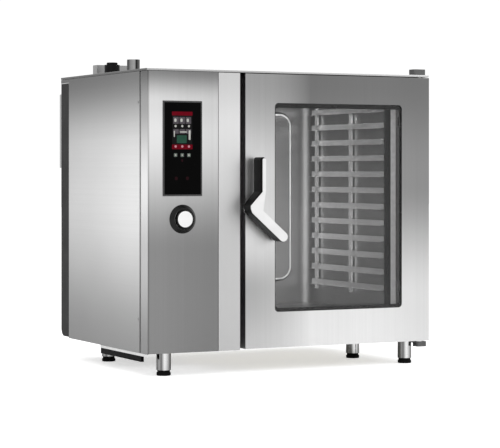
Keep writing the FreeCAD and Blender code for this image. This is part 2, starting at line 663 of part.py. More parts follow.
def exhaust_duct():
    """From the fan side of the chamber across and up to the chimney."""
    x0 = CHIMNEY[0]
    run = rod(x0, CHIMNEY[1], EXHAUST_Z, EXHAUST_R, CHAMBER_LEFT - x0, (1, 0, 0))
    rise = rod(x0, CHIMNEY[1], EXHAUST_Z, EXHAUST_R, CHIMNEY_BASE - 0.5 - EXHAUST_Z)
    knee = Part.makeSphere(EXHAUST_R, V(x0, CHIMNEY[1], EXHAUST_Z))
    inner = EXHAUST_R - 1.5
    core = rod(x0, CHIMNEY[1], EXHAUST_Z, inner, 500, (1, 0, 0))
    core = core.fuse(rod(x0, CHIMNEY[1], EXHAUST_Z, inner, 100))
    core = core.fuse(Part.makeSphere(inner, V(x0, CHIMNEY[1], EXHAUST_Z)))
    return joined([run, rise, knee]).cut(core)


# ---------------------------------------------------------------- technical compartment
BOILER = (60.0, 260.0, 500.0, 715.0, BASE + 80.0, BASE + 385.0)


def steam_boiler():
    x0, x1, y0, y1, z0, z1 = BOILER
    tank = plate(x0, x1, y0, y1, z0, z1, 30, "Z")
    tank = tank.cut(plate(x0 + 2, x1 - 2, y0 + 2, y1 - 2, z0 + 2, z1 - 2, 28, "Z"))
    tank = tank.cut(rod(STEAM_X, STEAM_Y, z1 - 5, STEAM_R - 1.5, 10))
    legs = []
    for x in (x0 + 30, x1 - 50):
        legs.append(slab(x, x + 20, y0 + 40, y1 - 40, FRAME_TOP, z0))
    ports = [rod(x0 + 50, y0 + 60, z1, 9, 20), rod(x1 - 50, y0 + 60, z1, 9, 20)]
    return joined([tank] + legs + ports)


def steam_pipe():
    """Boiler outlet, up and across into the fan space."""
    z0 = BOILER[5]
    rise = rod(STEAM_X, STEAM_Y, z0, STEAM_R, STEAM_Z - z0)
    knee = Part.makeSphere(STEAM_R, V(STEAM_X, STEAM_Y, STEAM_Z))
    run = rod(STEAM_X, STEAM_Y, STEAM_Z, STEAM_R, CHAMBER_LEFT + 4 - STEAM_X, (1, 0, 0))
    inner = STEAM_R - 1.5
    core = rod(STEAM_X, STEAM_Y, z0 - 5, inner, STEAM_Z - z0 + 5)
    core = core.fuse(Part.makeSphere(inner, V(STEAM_X, STEAM_Y, STEAM_Z)))
    core = core.fuse(rod(STEAM_X, STEAM_Y, STEAM_Z, inner, 500, (1, 0, 0)))
    return joined([rise, knee, run]).cut(core)


def inlet_valves():
    """Two water inlets with threaded tails behind and solenoid valves inside."""
    out = []
    for x in INLET_X:
        body = slab(x - 14, x + 14, 760, 800, INLET_Z - 14, INLET_Z + 14)
        coil = rod(x, 780, INLET_Z + 14, 13, 32)
        tail = rod(x, 800, INLET_Z, 13.2, DEPTH + REAR_REACH - 800, (0, 1, 0))
        nut = rod(x, DEPTH + 0.5, INLET_Z, 20, 7, (0, 1, 0))
        core = rod(x, 820, INLET_Z, 9, 80, (0, 1, 0))
        out.append(joined([body, coil, tail, nut]).cut(core))
    return group(out)


def electrics_plate():
    """Mounting plate with contactors, relays and the terminal block."""
    x = 340.0
    back = slab(x, x + 2, 130, 330, BASE + 120, BASE + 760)
    pieces = [back]
    for i in range(4):
        pieces.append(slab(x - 50, x, 145 + i * 45, 180 + i * 45, BASE + 640, BASE + 710))
    for i in range(5):
        pieces.append(slab(x - 42, x, 145 + i * 36, 175 + i * 36, BASE + 500, BASE + 580))
    pieces.append(slab(x - 60, x, 150, 310, BASE + 330, BASE + 440))
    for i in range(10):
        pieces.append(slab(x - 30, x, 145 + i * 17, 159 + i * 17, BASE + 180, BASE + 225))
    pieces.append(slab(x - 2, x + 20, 130, 132, BASE + 120, BASE + 760))
    pieces.append(slab(x - 2, x + 20, 130, 330, FRAME_TOP, FRAME_TOP + 2))
    pieces.append(slab(x, x + 2, 130, 330, FRAME_TOP, BASE + 122))
    return joined(pieces)


COOLER_X = 190.0
COOLER_Y = 330.0
COOLER_Z = FRAME_TOP + 6.0
COOLER_R = 52.0


def cooling_fan_housing():
    """Square axial fan housing over the air inlet in the compartment floor."""
    z = COOLER_Z
    body = plate(COOLER_X - 60, COOLER_X + 60, COOLER_Y - 60, COOLER_Y + 60, z, z + 38, 6, "Z")
    body = body.cut(rod(COOLER_X, COOLER_Y, z - 1, COOLER_R + 2, 40))
    spokes = []
    for turn in (45, 135):
        spoke = slab(COOLER_X - 66, COOLER_X + 66, COOLER_Y - 4, COOLER_Y + 4, z, z + 4)
        spoke.rotate(V(COOLER_X, COOLER_Y, z), V(0, 0, 1), turn)
        spokes.append(spoke)
    stub = rod(COOLER_X, COOLER_Y, z, 20, 6)
    post = rod(COOLER_X, COOLER_Y, z, 4, 34)
    return joined([body, stub, post] + spokes)


def cooling_fan_wheel():
    z = COOLER_Z + 8
    hub = rod(COOLER_X, COOLER_Y, z, 19, 28).cut(rod(COOLER_X, COOLER_Y, z - 1, 4 + RUN_GAP, 27.5))
    pieces = [hub]
    for i in range(7):
        blade = slab(COOLER_X + 15, COOLER_X + COOLER_R - 1, COOLER_Y - 14, COOLER_Y + 14, z + 12, z + 14.5)
        blade.rotate(V(COOLER_X, COOLER_Y, z + 13), V(1, 0, 0), 32)
        blade.rotate(V(COOLER_X, COOLER_Y, z), V(0, 0, 1), i * 360 / 7)
        pieces.append(blade)
    whole = joined(pieces)
    return whole.common(rod(COOLER_X, COOLER_Y, z - 2, COOLER_R - 1, 34)).cut(
        rod(COOLER_X, COOLER_Y, z - 1, 4 + RUN_GAP, 27.5))


# air inlet filter under the technical compartment
FILTER_BASE = BASE - 8.0
FILTER_TOP = BASE - 1.0
FILTER_FRONT, FILTER_BACK = 121.0, 400.0
FILTER_RIGHT = 360.0
PULL_BASE = BASE - 32.0
PULL_TOP = BASE - 11.0
PULL_FRONT, PULL_BACK = 60.0, 436.0
LIP_FRONT, LIP_BACK = 8.0, 440.0
LEDGE_T = 1.5


def filter_rails():
    """Front and back rails that the filter slides on, tied by a bar at their inner end."""
    pieces = []
    for edge, out in ((FILTER_FRONT - 1, -1), (FILTER_BACK + 1, 1)):
        low, high = sorted((edge, edge + 5 * out))
        pieces.append(slab(16, FILTER_RIGHT + 10, low, high, FILTER_BASE - LEDGE_T - 1, BASE))
        low, high = sorted((edge + 5 * out, edge - 10 * out))
        pieces.append(slab(16, FILTER_RIGHT + 10, low, high, FILTER_BASE - LEDGE_T - 1, FILTER_BASE - 1))
    pieces.append(slab(FILTER_RIGHT + 4, FILTER_RIGHT + 10, FILTER_FRONT - 6, FILTER_BACK + 6,
                       FILTER_BASE - LEDGE_T - 1, BASE))
    return joined(pieces)


def air_filter():
    """Slide-out filter cassette with a light lip and a long black pull along its outer edge."""
    cassette = slab(14, FILTER_RIGHT, FILTER_FRONT, FILTER_BACK, FILTER_BASE, FILTER_TOP)
    cells = []
    columns, rows, bar = 9, 6, 6
    step_x = (FILTER_RIGHT - 14 - 20) / columns
    step_y = (FILTER_BACK - FILTER_FRONT - 20) / rows
    for i in range(columns):
        for j in range(rows):
            x = 24 + i * step_x
            y = FILTER_FRONT + 10 + j * step_y
            cells.append(slab(x, x + step_x - bar, y, y + step_y - bar, FILTER_BASE - 1, FILTER_TOP + 1))
    cassette = cassette.cut(group(cells))
    mesh = slab(20, FILTER_RIGHT - 6, FILTER_FRONT + 6, FILTER_BACK - 6, FILTER_BASE + 3, FILTER_BASE + 4.5)
    neck = slab(3, 16, FILTER_FRONT, FILTER_BACK, FILTER_BASE, FILTER_TOP)
    lip = slab(2, 5, LIP_FRONT, LIP_BACK, PULL_TOP, FILTER_TOP)
    pull = slab(2, 13, PULL_FRONT, PULL_BACK, PULL_BASE, PULL_TOP)
    return joined([cassette, mesh, neck, lip, pull])


# ---------------------------------------------------------------- door
def door_skin():
    body = shell(DOOR_LEFT, WIDTH, 0, 38, DOOR_BASE, DOOR_TOP, SHEET, "+Y")
    body = body.cut(plate(WINDOW_LEFT, WINDOW_RIGHT, -5, 10, WINDOW_BASE, WINDOW_TOP, WINDOW_CORNER, "Y"))
    cuts = [rod(HINGE_X, HINGE_Y, DOOR_BASE - 5, HINGE_PIN_R + 1, DOOR_TOP)]
    cuts.append(rod(HANDLE_X, -1, HANDLE_Z, SHAFT_R + 1, 10, (0, 1, 0)))
    return body.cut(group(cuts))


INNER_LEFT = 484.0


def door_inner_frame():
    """Inner half of the door: a box-section ring that the gasket seals on and the inner glass sits in."""
    ring = slab(DOOR_LEFT + 2, WIDTH - 2, 38.5, FRONT_DEPTH, DOOR_BASE + 2, DOOR_TOP - 2)
    ring = ring.cut(slab(DOOR_LEFT + 3.5, WIDTH - 3.5, 30, FRONT_DEPTH - SHEET,
                         DOOR_BASE + 3.5, DOOR_TOP - 3.5))
    lip = slab(INNER_LEFT - 2, CHAMBER_RIGHT + 2, 38.5, FRONT_DEPTH, CHAMBER_BASE - 2, CHAMBER_TOP + 2)
    hole = slab(INNER_LEFT, CHAMBER_RIGHT, 30, FRONT_DEPTH + 5, CHAMBER_BASE, CHAMBER_TOP)
    body = joined([ring, lip]).cut(hole)
    return body.cut(rod(HANDLE_X, 30, HANDLE_Z, SHAFT_R + 0.6, 40, (0, 1, 0)))


def outer_glass():
    return plate(WINDOW_LEFT - 9, WINDOW_RIGHT + 9, 2, 7, WINDOW_BASE - 9, WINDOW_TOP + 9, 12, "Y")


def inner_glass():
    return slab(INNER_LEFT + 2, CHAMBER_RIGHT - 2, 49, 54, CHAMBER_BASE + 2, CHAMBER_TOP - 2)


def inner_glass_hinges():
    """Upper and lower pivots on the hinge side, and the spring catches on the other side."""
    out = []
    for z in (CHAMBER_BASE + 90, CHAMBER_TOP - 130):
        out.append(joined([slab(CHAMBER_RIGHT - 22, CHAMBER_RIGHT - 0.5, 44, 48.5, z, z + 40),
                           rod(CHAMBER_RIGHT - 6, 43.5, z, 5, 40)]))
        out.append(slab(INNER_LEFT + 0.5, INNER_LEFT + 16, 44, 48.5, z, z + 40))
    return group(out)


def door_lamp():
    """LED strip in its glass-covered channel, upright on the hinge side of the door."""
    x0 = CHAMBER_RIGHT + 4
    channel = shell(x0, x0 + 20, 12, 34, WINDOW_BASE + 20, WINDOW_TOP - 20, 1.5, "-X")
    leds = []
    for i in range(12):
        z = WINDOW_BASE + 50 + i * 60
        leds.append(slab(x0 + 14, x0 + 19, 18, 28, z, z + 14))
    return joined([channel] + leds)


def latch_case():
    """Lock case in the door's left stile, with the handle shaft's bearing."""
    body = slab(DOOR_LEFT + 2, WINDOW_LEFT - 46, 6, 36, HANDLE_Z - 55, HANDLE_Z + 55)
    tabs = slab(DOOR_LEFT + 4, WINDOW_LEFT - 50, SHEET, 6, HANDLE_Z + 30, HANDLE_Z + 50)
    tabs_low = slab(DOOR_LEFT + 4, WINDOW_LEFT - 50, SHEET, 6, HANDLE_Z - 50, HANDLE_Z - 30)
    bore = rod(HANDLE_X, 0, HANDLE_Z, SHAFT_R + RUN_GAP, 60, (0, 1, 0))
    return joined([body, tabs, tabs_low]).cut(bore)


def handle_base():
    rosette = rod(HANDLE_X, -14, HANDLE_Z, 24, 13.9, (0, 1, 0))
    rosette = rosette.makeFillet(3, [e for e in rosette.Edges if e.Closed and e.BoundBox.YMax < -13])
    return rosette.cut(rod(HANDLE_X, -20, HANDLE_Z, SHAFT_R + RUN_GAP, 30, (0, 1, 0)))


BUSH = 32.0


def hinge_bushes():
    """Door blocks bored for the hinge pins, top and bottom."""
    out = []
    for z0 in (DOOR_BASE + SHEET + 2.5, DOOR_TOP - SHEET - 2.5 - 42):
        block = slab(HINGE_X - BUSH / 2, HINGE_X + BUSH / 2 + 6, 6, 37, z0, z0 + 42)
        out.append(block.cut(rod(HINGE_X, HINGE_Y, z0 - 1, HINGE_PIN_R + RUN_GAP, 50)))
    return group(out)


def hinge_bracket(top):
    """Cast block that holds a hinge pin, screwed to the cabinet's top or underside."""
    if top:
        block = plate(HINGE_X - 34, HINGE_X + 20, 8, 52, TOP, TOP + 22, 10, "Z")
        return block.cut(rod(HINGE_X, HINGE_Y, TOP - 5, HINGE_PIN_R + 0.02, 22))
    block = plate(HINGE_X - 18, HINGE_X + 24, 8, 50, BASE - 20, BASE - 1, 9, "Z")
    arm = slab(HINGE_X - 12, HINGE_X + 24, 20, 110, BASE - 8, BASE - 1)
    seat = slab(HINGE_X - 12, HINGE_X + 6, 76, 110, BASE - 2, FRAME_BASE)
    block = joined([block, arm, seat])
    return block.cut(rod(HINGE_X, HINGE_Y, BASE - 15, HINGE_PIN_R + 0.02, 40))


def hinge_pins():
    upper = rod(HINGE_X, HINGE_Y, DOOR_TOP - 40, HINGE_PIN_R, TOP + 15 - DOOR_TOP + 40)
    lower = rod(HINGE_X, HINGE_Y, BASE - 14.5, HINGE_PIN_R, DOOR_BASE + 40 - BASE + 14.5)
    washer = pipe(HINGE_X, HINGE_Y, BASE - 0.9, HINGE_PIN_R + 6, HINGE_PIN_R - 1, DOOR_BASE - BASE + 0.8)
    return group([upper, joined([lower, washer])])


# ---------------------------------------------------------------- handle and latch
ARM_LEFT, ARM_RIGHT = 416.0, 438.0   # sides of the lever's upright arm
COVER_ARM_LEFT = 423.0               # the silver cover is narrower there
ARM_BASE = BASE + 577.0              # the upright arm is straight above this height
ELBOW_LEFT = 375.0                   # outer side of the bend
ELBOW_Z = BASE + 517.0
GRIP_START = V(392, 0, BASE + 515)   # centre line of the lower arm, at the bend
GRIP_TIP = V(509, 0, BASE + 413)     # centre of its rounded end


def handle_outline(inset, y0, y1, arm_left=ARM_LEFT):
    """The bent lever: a slim upright arm, an elbow at the shaft and a broader arm down to the right."""
    half = HANDLE_WIDTH / 2 - inset
    run = GRIP_TIP - GRIP_START
    run.normalize()
    side = V(-run.z, 0, run.x)
    a = V(ELBOW_LEFT + inset, y0, ELBOW_Z)
    b = V(ELBOW_LEFT + inset, y0, ELBOW_Z + 10)
    c = V(arm_left + inset, y0, ARM_BASE)
    arm_top = HANDLE_TIP_Z - 11
    d = V(arm_left + inset, y0, arm_top)
    crown = V((arm_left + ARM_RIGHT) / 2, y0, arm_top + (ARM_RIGHT - arm_left) / 2 - inset)
    e = V(ARM_RIGHT - inset, y0, arm_top)
    f = V(ARM_RIGHT - inset, y0, ARM_BASE + 3)
    g = GRIP_START + side * half + run * 30
    h = GRIP_TIP + side * half
    end = GRIP_TIP + run * half
    i = GRIP_TIP - side * half
    j = GRIP_START - side * half + run * 2
    for point in (g, h, end, i, j):
        point.y = y0
    edges = [Part.makeLine(a, b), Part.makeLine(b, c), Part.makeLine(c, d)]
    edges.append(Part.Arc(d, crown, e).toShape())
    edges += [Part.makeLine(e, f), Part.makeLine(f, g), Part.makeLine(g, h)]
    edges.append(Part.Arc(h, end, i).toShape())
    edges += [Part.makeLine(i, j), Part.makeLine(j, a)]
    return Part.Face(Part.Wire(edges)).extrude(V(0, y1 - y0, 0))


SHAFT_FRONT = -60.0


def handle_grip():
    body = handle_outline(0, -71, -16)
    return body.cut(rod(HANDLE_X, SHAFT_FRONT, HANDLE_Z, SHAFT_R + 0.02, 60, (0, 1, 0)))


def handle_cover():
    return handle_outline(0.6, -HANDLE_REACH, -71, COVER_ARM_LEFT)


def latch_shaft():
    """Handle shaft with the latch cam at its inner end."""
    shaft = rod(HANDLE_X, SHAFT_FRONT, HANDLE_Z, SHAFT_R, FRONT_DEPTH + 2 - SHAFT_FRONT, (0, 1, 0))
    cam = plate(HANDLE_X - 15, HANDLE_X + 15, FRONT_DEPTH + 1.5, FRONT_DEPTH + 9,
                HANDLE_Z - 24, HANDLE_Z + 24, 7, "Y")
    return joined([shaft, cam])


def latch_keepers():
    """Spring keepers on the cabinet front, above and below the latch cam."""
    out = []
    for sign in (-1, 1):
        low, high = sorted((HANDLE_Z + sign * 32, HANDLE_Z + sign * 58))
        block = slab(HANDLE_X - 14, HANDLE_X + 22, FRONT_DEPTH + 1.5, BODY_FRONT, low, high)
        roller_z = HANDLE_Z + sign * 33
        out.append(joined([block, rod(HANDLE_X - 10, FRONT_DEPTH + 6, roller_z, 4, 28, (1, 0, 0))]))
    return group(out)


# ---------------------------------------------------------------- groups of like pieces
def panel_screws():
    """Screws of the side panels and of the rear panel."""
    out = [screw(*place, (1, 0, 0)) for place in side_screw_places(0)]
    out += [screw(*place, (-1, 0, 0)) for place in side_screw_places(WIDTH)]
    out += [screw(*place, (0, -1, 0)) for place in rear_screw_places()]
    return group(out)


def foot_sleeves():
    return group([foot_sleeve(x, y) for x, y in FEET])


def foot_inserts():
    return group([foot_insert(x, y) for x, y in FEET])


def hinge_brackets():
    return group([hinge_bracket(True), hinge_bracket(False)])


def rack_left():
    return rack("left")


def rack_right():
    return rack("right")


# ---------------------------------------------------------------- the pieces, written one file each
CABINET = (base_frame, foot_sleeves, foot_inserts, left_side_panel, right_side_panel, rear_corner_post,
           rear_panel, rear_vent_cover, top_cover, flue_box, chimney_tube, relief_cap, flap_actuator,
           front_frame, hinge_brackets, hinge_pins, latch_keepers, filter_rails, panel_screws)
CONTROLS = (control_fascia, trim_strip, touch_bezel, touch_glass, control_board, encoder, knob_ring,
            knob_spindle, knob_dial)
CHAMBER = (cooking_chamber, chamber_insulation, door_gasket, fan_baffle, fan_motor, heating_element,
           rack_left, rack_right, rack_pins, drain_pipe, exhaust_duct)
SERVICES = (steam_boiler, steam_pipe, inlet_valves, electrics_plate, cooling_fan_housing)
DOOR = (door_skin, door_inner_frame, outer_glass, inner_glass, inner_glass_hinges, door_lamp, latch_case,
        handle_base, hinge_bushes)
MOVING = (fan_wheel, cooling_fan_wheel, vent_flap, air_filter, handle_grip, handle_cover, latch_shaft)

os.makedirs("parts", exist_ok=True)
for piece in CABINET + CONTROLS + CHAMBER + SERVICES + DOOR + MOVING:
    save(piece.__name__, piece())
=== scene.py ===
import math
import bmesh
import bpy
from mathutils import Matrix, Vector


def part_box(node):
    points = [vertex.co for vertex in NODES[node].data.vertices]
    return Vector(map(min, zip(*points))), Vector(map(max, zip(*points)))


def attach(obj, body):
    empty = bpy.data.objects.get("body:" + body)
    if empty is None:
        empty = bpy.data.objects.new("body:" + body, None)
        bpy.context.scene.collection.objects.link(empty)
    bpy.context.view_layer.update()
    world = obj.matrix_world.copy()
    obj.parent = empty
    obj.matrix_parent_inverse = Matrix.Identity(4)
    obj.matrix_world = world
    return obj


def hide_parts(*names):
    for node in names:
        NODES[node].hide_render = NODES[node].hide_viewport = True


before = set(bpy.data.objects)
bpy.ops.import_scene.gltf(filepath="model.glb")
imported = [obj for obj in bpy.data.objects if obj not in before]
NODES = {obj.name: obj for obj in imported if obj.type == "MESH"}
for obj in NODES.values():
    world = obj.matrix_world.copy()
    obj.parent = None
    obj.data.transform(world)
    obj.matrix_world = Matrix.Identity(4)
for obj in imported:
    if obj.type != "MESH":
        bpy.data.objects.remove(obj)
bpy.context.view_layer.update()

# Looks for the combi steamer oven. Metres, in the frame of the CAD model: +Z up, the door faces -Y.
VIEW_TURN = math.radians(-27)      # the camera's turn about the upright axis
# Direction across the view: the tubes' painted reflection streaks follow how each wall faces it.
ACROSS_VIEW = (math.cos(VIEW_TURN), math.sin(VIEW_TURN), 0.0)


DISPLAY_POWER = 2.4        # of the sRGB display curve


def display(value):
    """Linear brightness of a display brightness between 0 and 1."""
    if value <= 0.04045:
        return value / 12.92
    return ((value + 0.055) / 1.055) ** DISPLAY_POWER


def grey(value, alpha=1.0):
    level = display(value)
    return (level, level, level, alpha)


def colour(red, green, blue):
    return (display(red), display(green), display(blue), 1.0)


# ---------------------------------------------------------------- places taken from the frame
BODY_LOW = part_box("left_side_panel")[0]
BODY_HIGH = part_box("right_side_panel")[1]
LEFT = BODY_LOW.x
RIGHT = BODY_HIGH.x
BASE = BODY_LOW.z
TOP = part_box("top_cover")[1].z
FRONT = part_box("door_skin")[0].y
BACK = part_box("top_cover")[1].y
HEIGHT = TOP - BASE


# ---------------------------------------------------------------- material nodes
class Shader:
    """A node-based material with a Principled surface, built through short calls."""

    def __init__(self, name):
        self.material = bpy.data.materials.new(name)
        self.material.use_nodes = True
        self.tree = self.material.node_tree
        self.surface = self.tree.nodes["Principled BSDF"]
        self.place = self.tree.nodes.new("ShaderNodeTexCoord").outputs["Object"]
        self.axes = None

    def add(self, kind, **settings):
        node = self.tree.nodes.new(kind)
        for key, value in settings.items():
            setattr(node, key, value)
        return node

    def join(self, source, target):
        self.tree.links.new(source, target)

    def feed(self, node, key, value):
        """Links or sets one input of a node."""
        target = node.inputs[key]
        if hasattr(value, "is_linked"):
            self.join(value, target)
        else:
            target.default_value = value

    def axis(self, letter):
        if self.axes is None:
            self.axes = self.add("ShaderNodeSeparateXYZ")
            self.join(self.place, self.axes.inputs[0])
        return self.axes.outputs[letter]

    def span(self, value, low, high, out_low=0.0, out_high=1.0):
        """Maps low..high to out_low..out_high, clamped."""
        node = self.add("ShaderNodeMapRange")
        self.feed(node, "Value", value)
        limits = {"From Min": low, "From Max": high, "To Min": out_low, "To Max": out_high}
        for key, number in limits.items():
            node.inputs[key].default_value = number
        return node.outputs["Result"]

    def math(self, operation, first, second=0.0, third=0.0):
        node = self.add("ShaderNodeMath", operation=operation)
        for index, value in enumerate((first, second, third)):
            self.feed(node, index, value)
        return node.outputs[0]

    def ramp(self, value, stops, ease="EASE"):
        """Colour ramp of (position, colour) stops."""
        node = self.add("ShaderNodeValToRGB")
        node.color_ramp.interpolation = ease
        points = node.color_ramp.elements
        while len(points) < len(stops):
            points.new(0.5)
        for point, (position, shade) in zip(points, stops):
            point.position = position
            point.color = shade
        self.feed(node, "Fac", value)
        return node.outputs["Color"]

    def noise(self, scale, detail=3.0, rough=0.55, seed=0.0):
        """Noise stretched by a scale along each axis."""
        mapping = self.add("ShaderNodeMapping")
        mapping.inputs["Scale"].default_value = scale
        mapping.inputs["Location"].default_value = (seed, seed * 0.7, seed * 1.3)
        self.join(self.place, mapping.inputs["Vector"])
        node = self.add("ShaderNodeTexNoise")
        node.inputs["Scale"].default_value = 1.0
        node.inputs["Detail"].default_value = detail
        node.inputs["Roughness"].default_value = rough
        self.join(mapping.outputs[0], node.inputs["Vector"])
        return node.outputs["Fac"]

    def blend(self, mode, amount, first, second):
        node = self.add("ShaderNodeMix", data_type="RGBA", blend_type=mode)
        self.feed(node, 0, amount)
        self.feed(node, 6, first)
        self.feed(node, 7, second)
        return node.outputs[2]

    def bump(self, height, depth, strength=1.0):
        node = self.add("ShaderNodeBump")
        node.inputs["Strength"].default_value = strength
        node.inputs["Distance"].default_value = depth
        self.join(height, node.inputs["Height"])
        self.join(node.outputs["Normal"], self.surface.inputs["Normal"])

    def set(self, **values):
        for key, value in values.items():
            self.feed(self.surface, key.replace("_", " "), value)
        return self


def tones(shader, letter, low, high, stops):
    """A grey ramp along one axis from (position, display brightness) stops."""
    value = shader.span(shader.axis(letter), low, high)
    return shader.ramp(value, [(position, grey(level)) for position, level in stops])


def brushed(name, along, tint=None, level=0.75, rough=0.3, grain=1.0, painted_light_ramps=(), edge=()):
    """Brushed stainless: fine scratches along one axis, soft clouds, and painted reflections as slow tone
    changes over the panel.
    painted_light_ramps holds (axis, low, high, stops) gradients of painted reflection and shade; the first
    one sets the tone, the others multiply it.
    edge holds a weight ramp and a tone ramp of a painted reflection patch: the tone is multiplied in only as
    far as the weight says."""
    shader = Shader(name)
    stretch = {"X": (1.5, 420, 420), "Y": (420, 1.5, 420), "Z": (420, 420, 1.5)}[along]
    wide = tuple(v * 0.22 for v in stretch)
    fine = shader.noise(stretch, 2.0, 0.6)
    broad = shader.noise(wide, 3.0, 0.6, seed=3.1)
    cloud = shader.noise((2.4, 2.4, 2.4), 2.0, 0.5, seed=7.7)
    scratch = shader.math("MULTIPLY_ADD", shader.math("ADD", fine, broad), 0.5, 0.0)
    base = tones(shader, "Z", BASE, TOP, ((0.0, level), (1.0, level)))
    # the painted reflection and shade gradients multiply into the steel's tone
    for index, (letter, low, high, stops) in enumerate(painted_light_ramps):
        extra = tones(shader, letter, low, high, stops)
        base = extra if index == 0 else shader.blend("MULTIPLY", 1.0, base, extra)
    # a painted reflection patch, multiplied in only where its weight reaches
    if edge:
        weight = tones(shader, *edge[0])
        amount = shader.math("POWER", weight, 1.0 / DISPLAY_POWER)
        base = shader.blend("MULTIPLY", amount, base, tones(shader, *edge[1]))
    lines = shader.ramp(scratch, [(0.3, grey(1.0 - 0.035 * grain)), (0.7, grey(1.0))], "LINEAR")
    shade = shader.blend("MULTIPLY", 1.0, base, lines)
    soft = shader.ramp(cloud, [(0.3, grey(0.985)), (0.7, grey(1.0))])
    shade = shader.blend("MULTIPLY", 1.0, shade, soft)
    if tint:
        shade = shader.blend("MULTIPLY", 1.0, shade, tint)
    shader.set(Base_Color=shade, Metallic=1.0)
    shader.set(Roughness=shader.span(scratch, 0.25, 0.75, rough - 0.05, rough + 0.07))
    shader.bump(scratch, 0.00002, 0.12 * grain)
    return shader.material


def coated(name, shade, rough=0.45, grit=900.0, depth=0.00006, spread=0.12, metallic=0.0, coat=0.0,
           shine=0.5):
    """Moulded plastic, rubber or powder coat: a fine grit, soft mottling and uneven roughness."""
    shader = Shader(name)
    fine = shader.noise((grit, grit, grit), 2.0, 0.5)
    cloud = shader.noise((14, 14, 14), 3.0, 0.55, seed=2.3)
    dark = tuple(c * (1.0 - spread) for c in shade[:3]) + (1.0,)
    light = tuple(min(1.0, c * (1.0 + spread)) for c in shade[:3]) + (1.0,)
    shader.set(Base_Color=shader.ramp(cloud, [(0.3, dark), (0.7, light)]), Metallic=metallic)
    shader.set(Roughness=shader.span(cloud, 0.2, 0.8, rough - 0.06, rough + 0.08))
    shader.set(Coat_Weight=coat, Coat_Roughness=0.08, Specular_IOR_Level=shine)
    shader.bump(fine, depth, 0.4)
    return shader.material


def polished_tube(name, stops, rough=0.12):
    """Bright upright tube with painted reflections: light and dark streaks painted by the direction each
    part of the wall faces.
    """
    shader = Shader(name)
    facing = shader.add("ShaderNodeVectorMath", operation="DOT_PRODUCT")
    shader.join(shader.add("ShaderNodeNewGeometry").outputs["Normal"], facing.inputs[0])
    facing.inputs[1].default_value = ACROSS_VIEW
    turned = shader.span(facing.outputs["Value"], -1.0, 1.0)
    painted_streaks = shader.ramp(turned, [(at, grey(tone)) for at, tone in stops])
    fine = shader.noise((40, 40, 600), 2.0, 0.5)
    lines = shader.ramp(fine, [(0.3, grey(0.96)), (0.7, grey(1.0))])
    shader.set(Base_Color=shader.blend("MULTIPLY", 1.0, painted_streaks, lines), Metallic=1.0)
    shader.set(Roughness=shader.span(fine, 0.3, 0.7, rough, rough + 0.05))
    return shader.material


def two_tone(name, letter, edge, below, above, rough=0.4):
    """Black moulding below a height and a light facing above it."""
    shader = Shader(name)
    cloud = shader.noise((30, 30, 30), 3.0, 0.5, seed=4.4)
    side = shader.span(shader.axis(letter), edge - 0.0003, edge + 0.0003)
    shade = shader.ramp(side, [(0.0, grey(below)), (1.0, grey(above))], "LINEAR")
    mottle = shader.ramp(cloud, [(0.3, grey(0.95)), (0.7, grey(1.0))])
    shader.set(Base_Color=shader.blend("MULTIPLY", 1.0, shade, mottle))
    shader.set(Specular_IOR_Level=shader.span(side, 0.0, 1.0, 0.03, 0.5))
    shader.set(Roughness=shader.span(cloud, 0.3, 0.7, rough, rough + 0.08))
    return shader.material


GLASS_INDEX = 1.5


def pane(name, tint=0.93, haze=0.02, sheen=0.45):
    """Thin clear glass that reflects more at a shallow angle; sheen scales how much."""
    shader = Shader(name)
    tree = shader.tree
    smear = shader.noise((5, 5, 2.2), 4.0, 0.6, seed=1.4)
    fresnel = shader.add("ShaderNodeFresnel")
    behind = shader.add("ShaderNodeNewGeometry").outputs["Backfacing"]
    shader.join(shader.span(behind, 0.0, 1.0, GLASS_INDEX, 1.0 / GLASS_INDEX), fresnel.inputs["IOR"])
    amount = shader.math("MULTIPLY", fresnel.outputs[0], sheen)
    clear = shader.add("ShaderNodeBsdfTransparent")
    shader.join(shader.ramp(smear, [(0.3, grey(tint - 0.02)), (0.7, grey(tint))]), clear.inputs["Color"])
    gloss = shader.add("ShaderNodeBsdfGlossy")
    gloss.inputs["Color"].default_value = grey(0.97)
    shader.join(shader.span(smear, 0.3, 0.7, haze, haze + 0.03), gloss.inputs["Roughness"])
    mix = shader.add("ShaderNodeMixShader")
    shader.join(amount, mix.inputs[0])
    shader.join(clear.outputs[0], mix.inputs[1])
    shader.join(gloss.outputs[0], mix.inputs[2])
    tree.links.new(mix.outputs[0], tree.nodes["Material Output"].inputs["Surface"])
    return shader.material


def glowing(name, shade, strength, rough=0.3, body=1.0):
    """A lit print or lamp with a slightly uneven glow, also used as a painted highlight on a steel profile;
    body scales the colour it has unlit.
    """
    shader = Shader(name)
    uneven = shader.noise((60, 60, 60), 2.0, 0.5)
    dim = tuple(c * 0.8 for c in shade[:3]) + (1.0,)
    lit = shader.ramp(uneven, [(0.25, dim), (0.75, shade)])
    unlit = shader.blend("MULTIPLY", 1.0, lit, (body, body, body, 1.0))
    shader.set(Base_Color=unlit, Emission_Color=lit, Emission_Strength=strength, Roughness=rough)
    shader.set(Specular_IOR_Level=0.5 * body)
    return shader.material


# ---------------------------------------------------------------- the materials
# Painted reflections on the polished sheets: soft reflections of a room that isn't modelled, painted in as
# plain gradients between a few levels.
# The side sheet's painted reflection is bright above its middle and falls off to both ends, and dims towards
# the back.
SIDE_Z = ("Z", BASE, TOP, ((0.0, 0.57), (0.55, 0.90), (0.7, 0.88), (1.0, 0.45)))
SIDE_Y = ("Y", FRONT, BACK, ((0.0, 1.04), (1.0, 0.91)))
# Painted reflections on the control panel: bright near its top, with a dim band of painted shade just inside
# the fold of its left edge.
PANEL_Z = ("Z", BASE, TOP, ((0.35, 0.53), (0.78, 0.88), (0.88, 0.84), (1.0, 0.5)))
PANEL_X = ("X", LEFT, LEFT + 0.27, ((0.0, 1.0), (0.01, 0.79), (0.035, 1.02), (1.0, 0.94)))
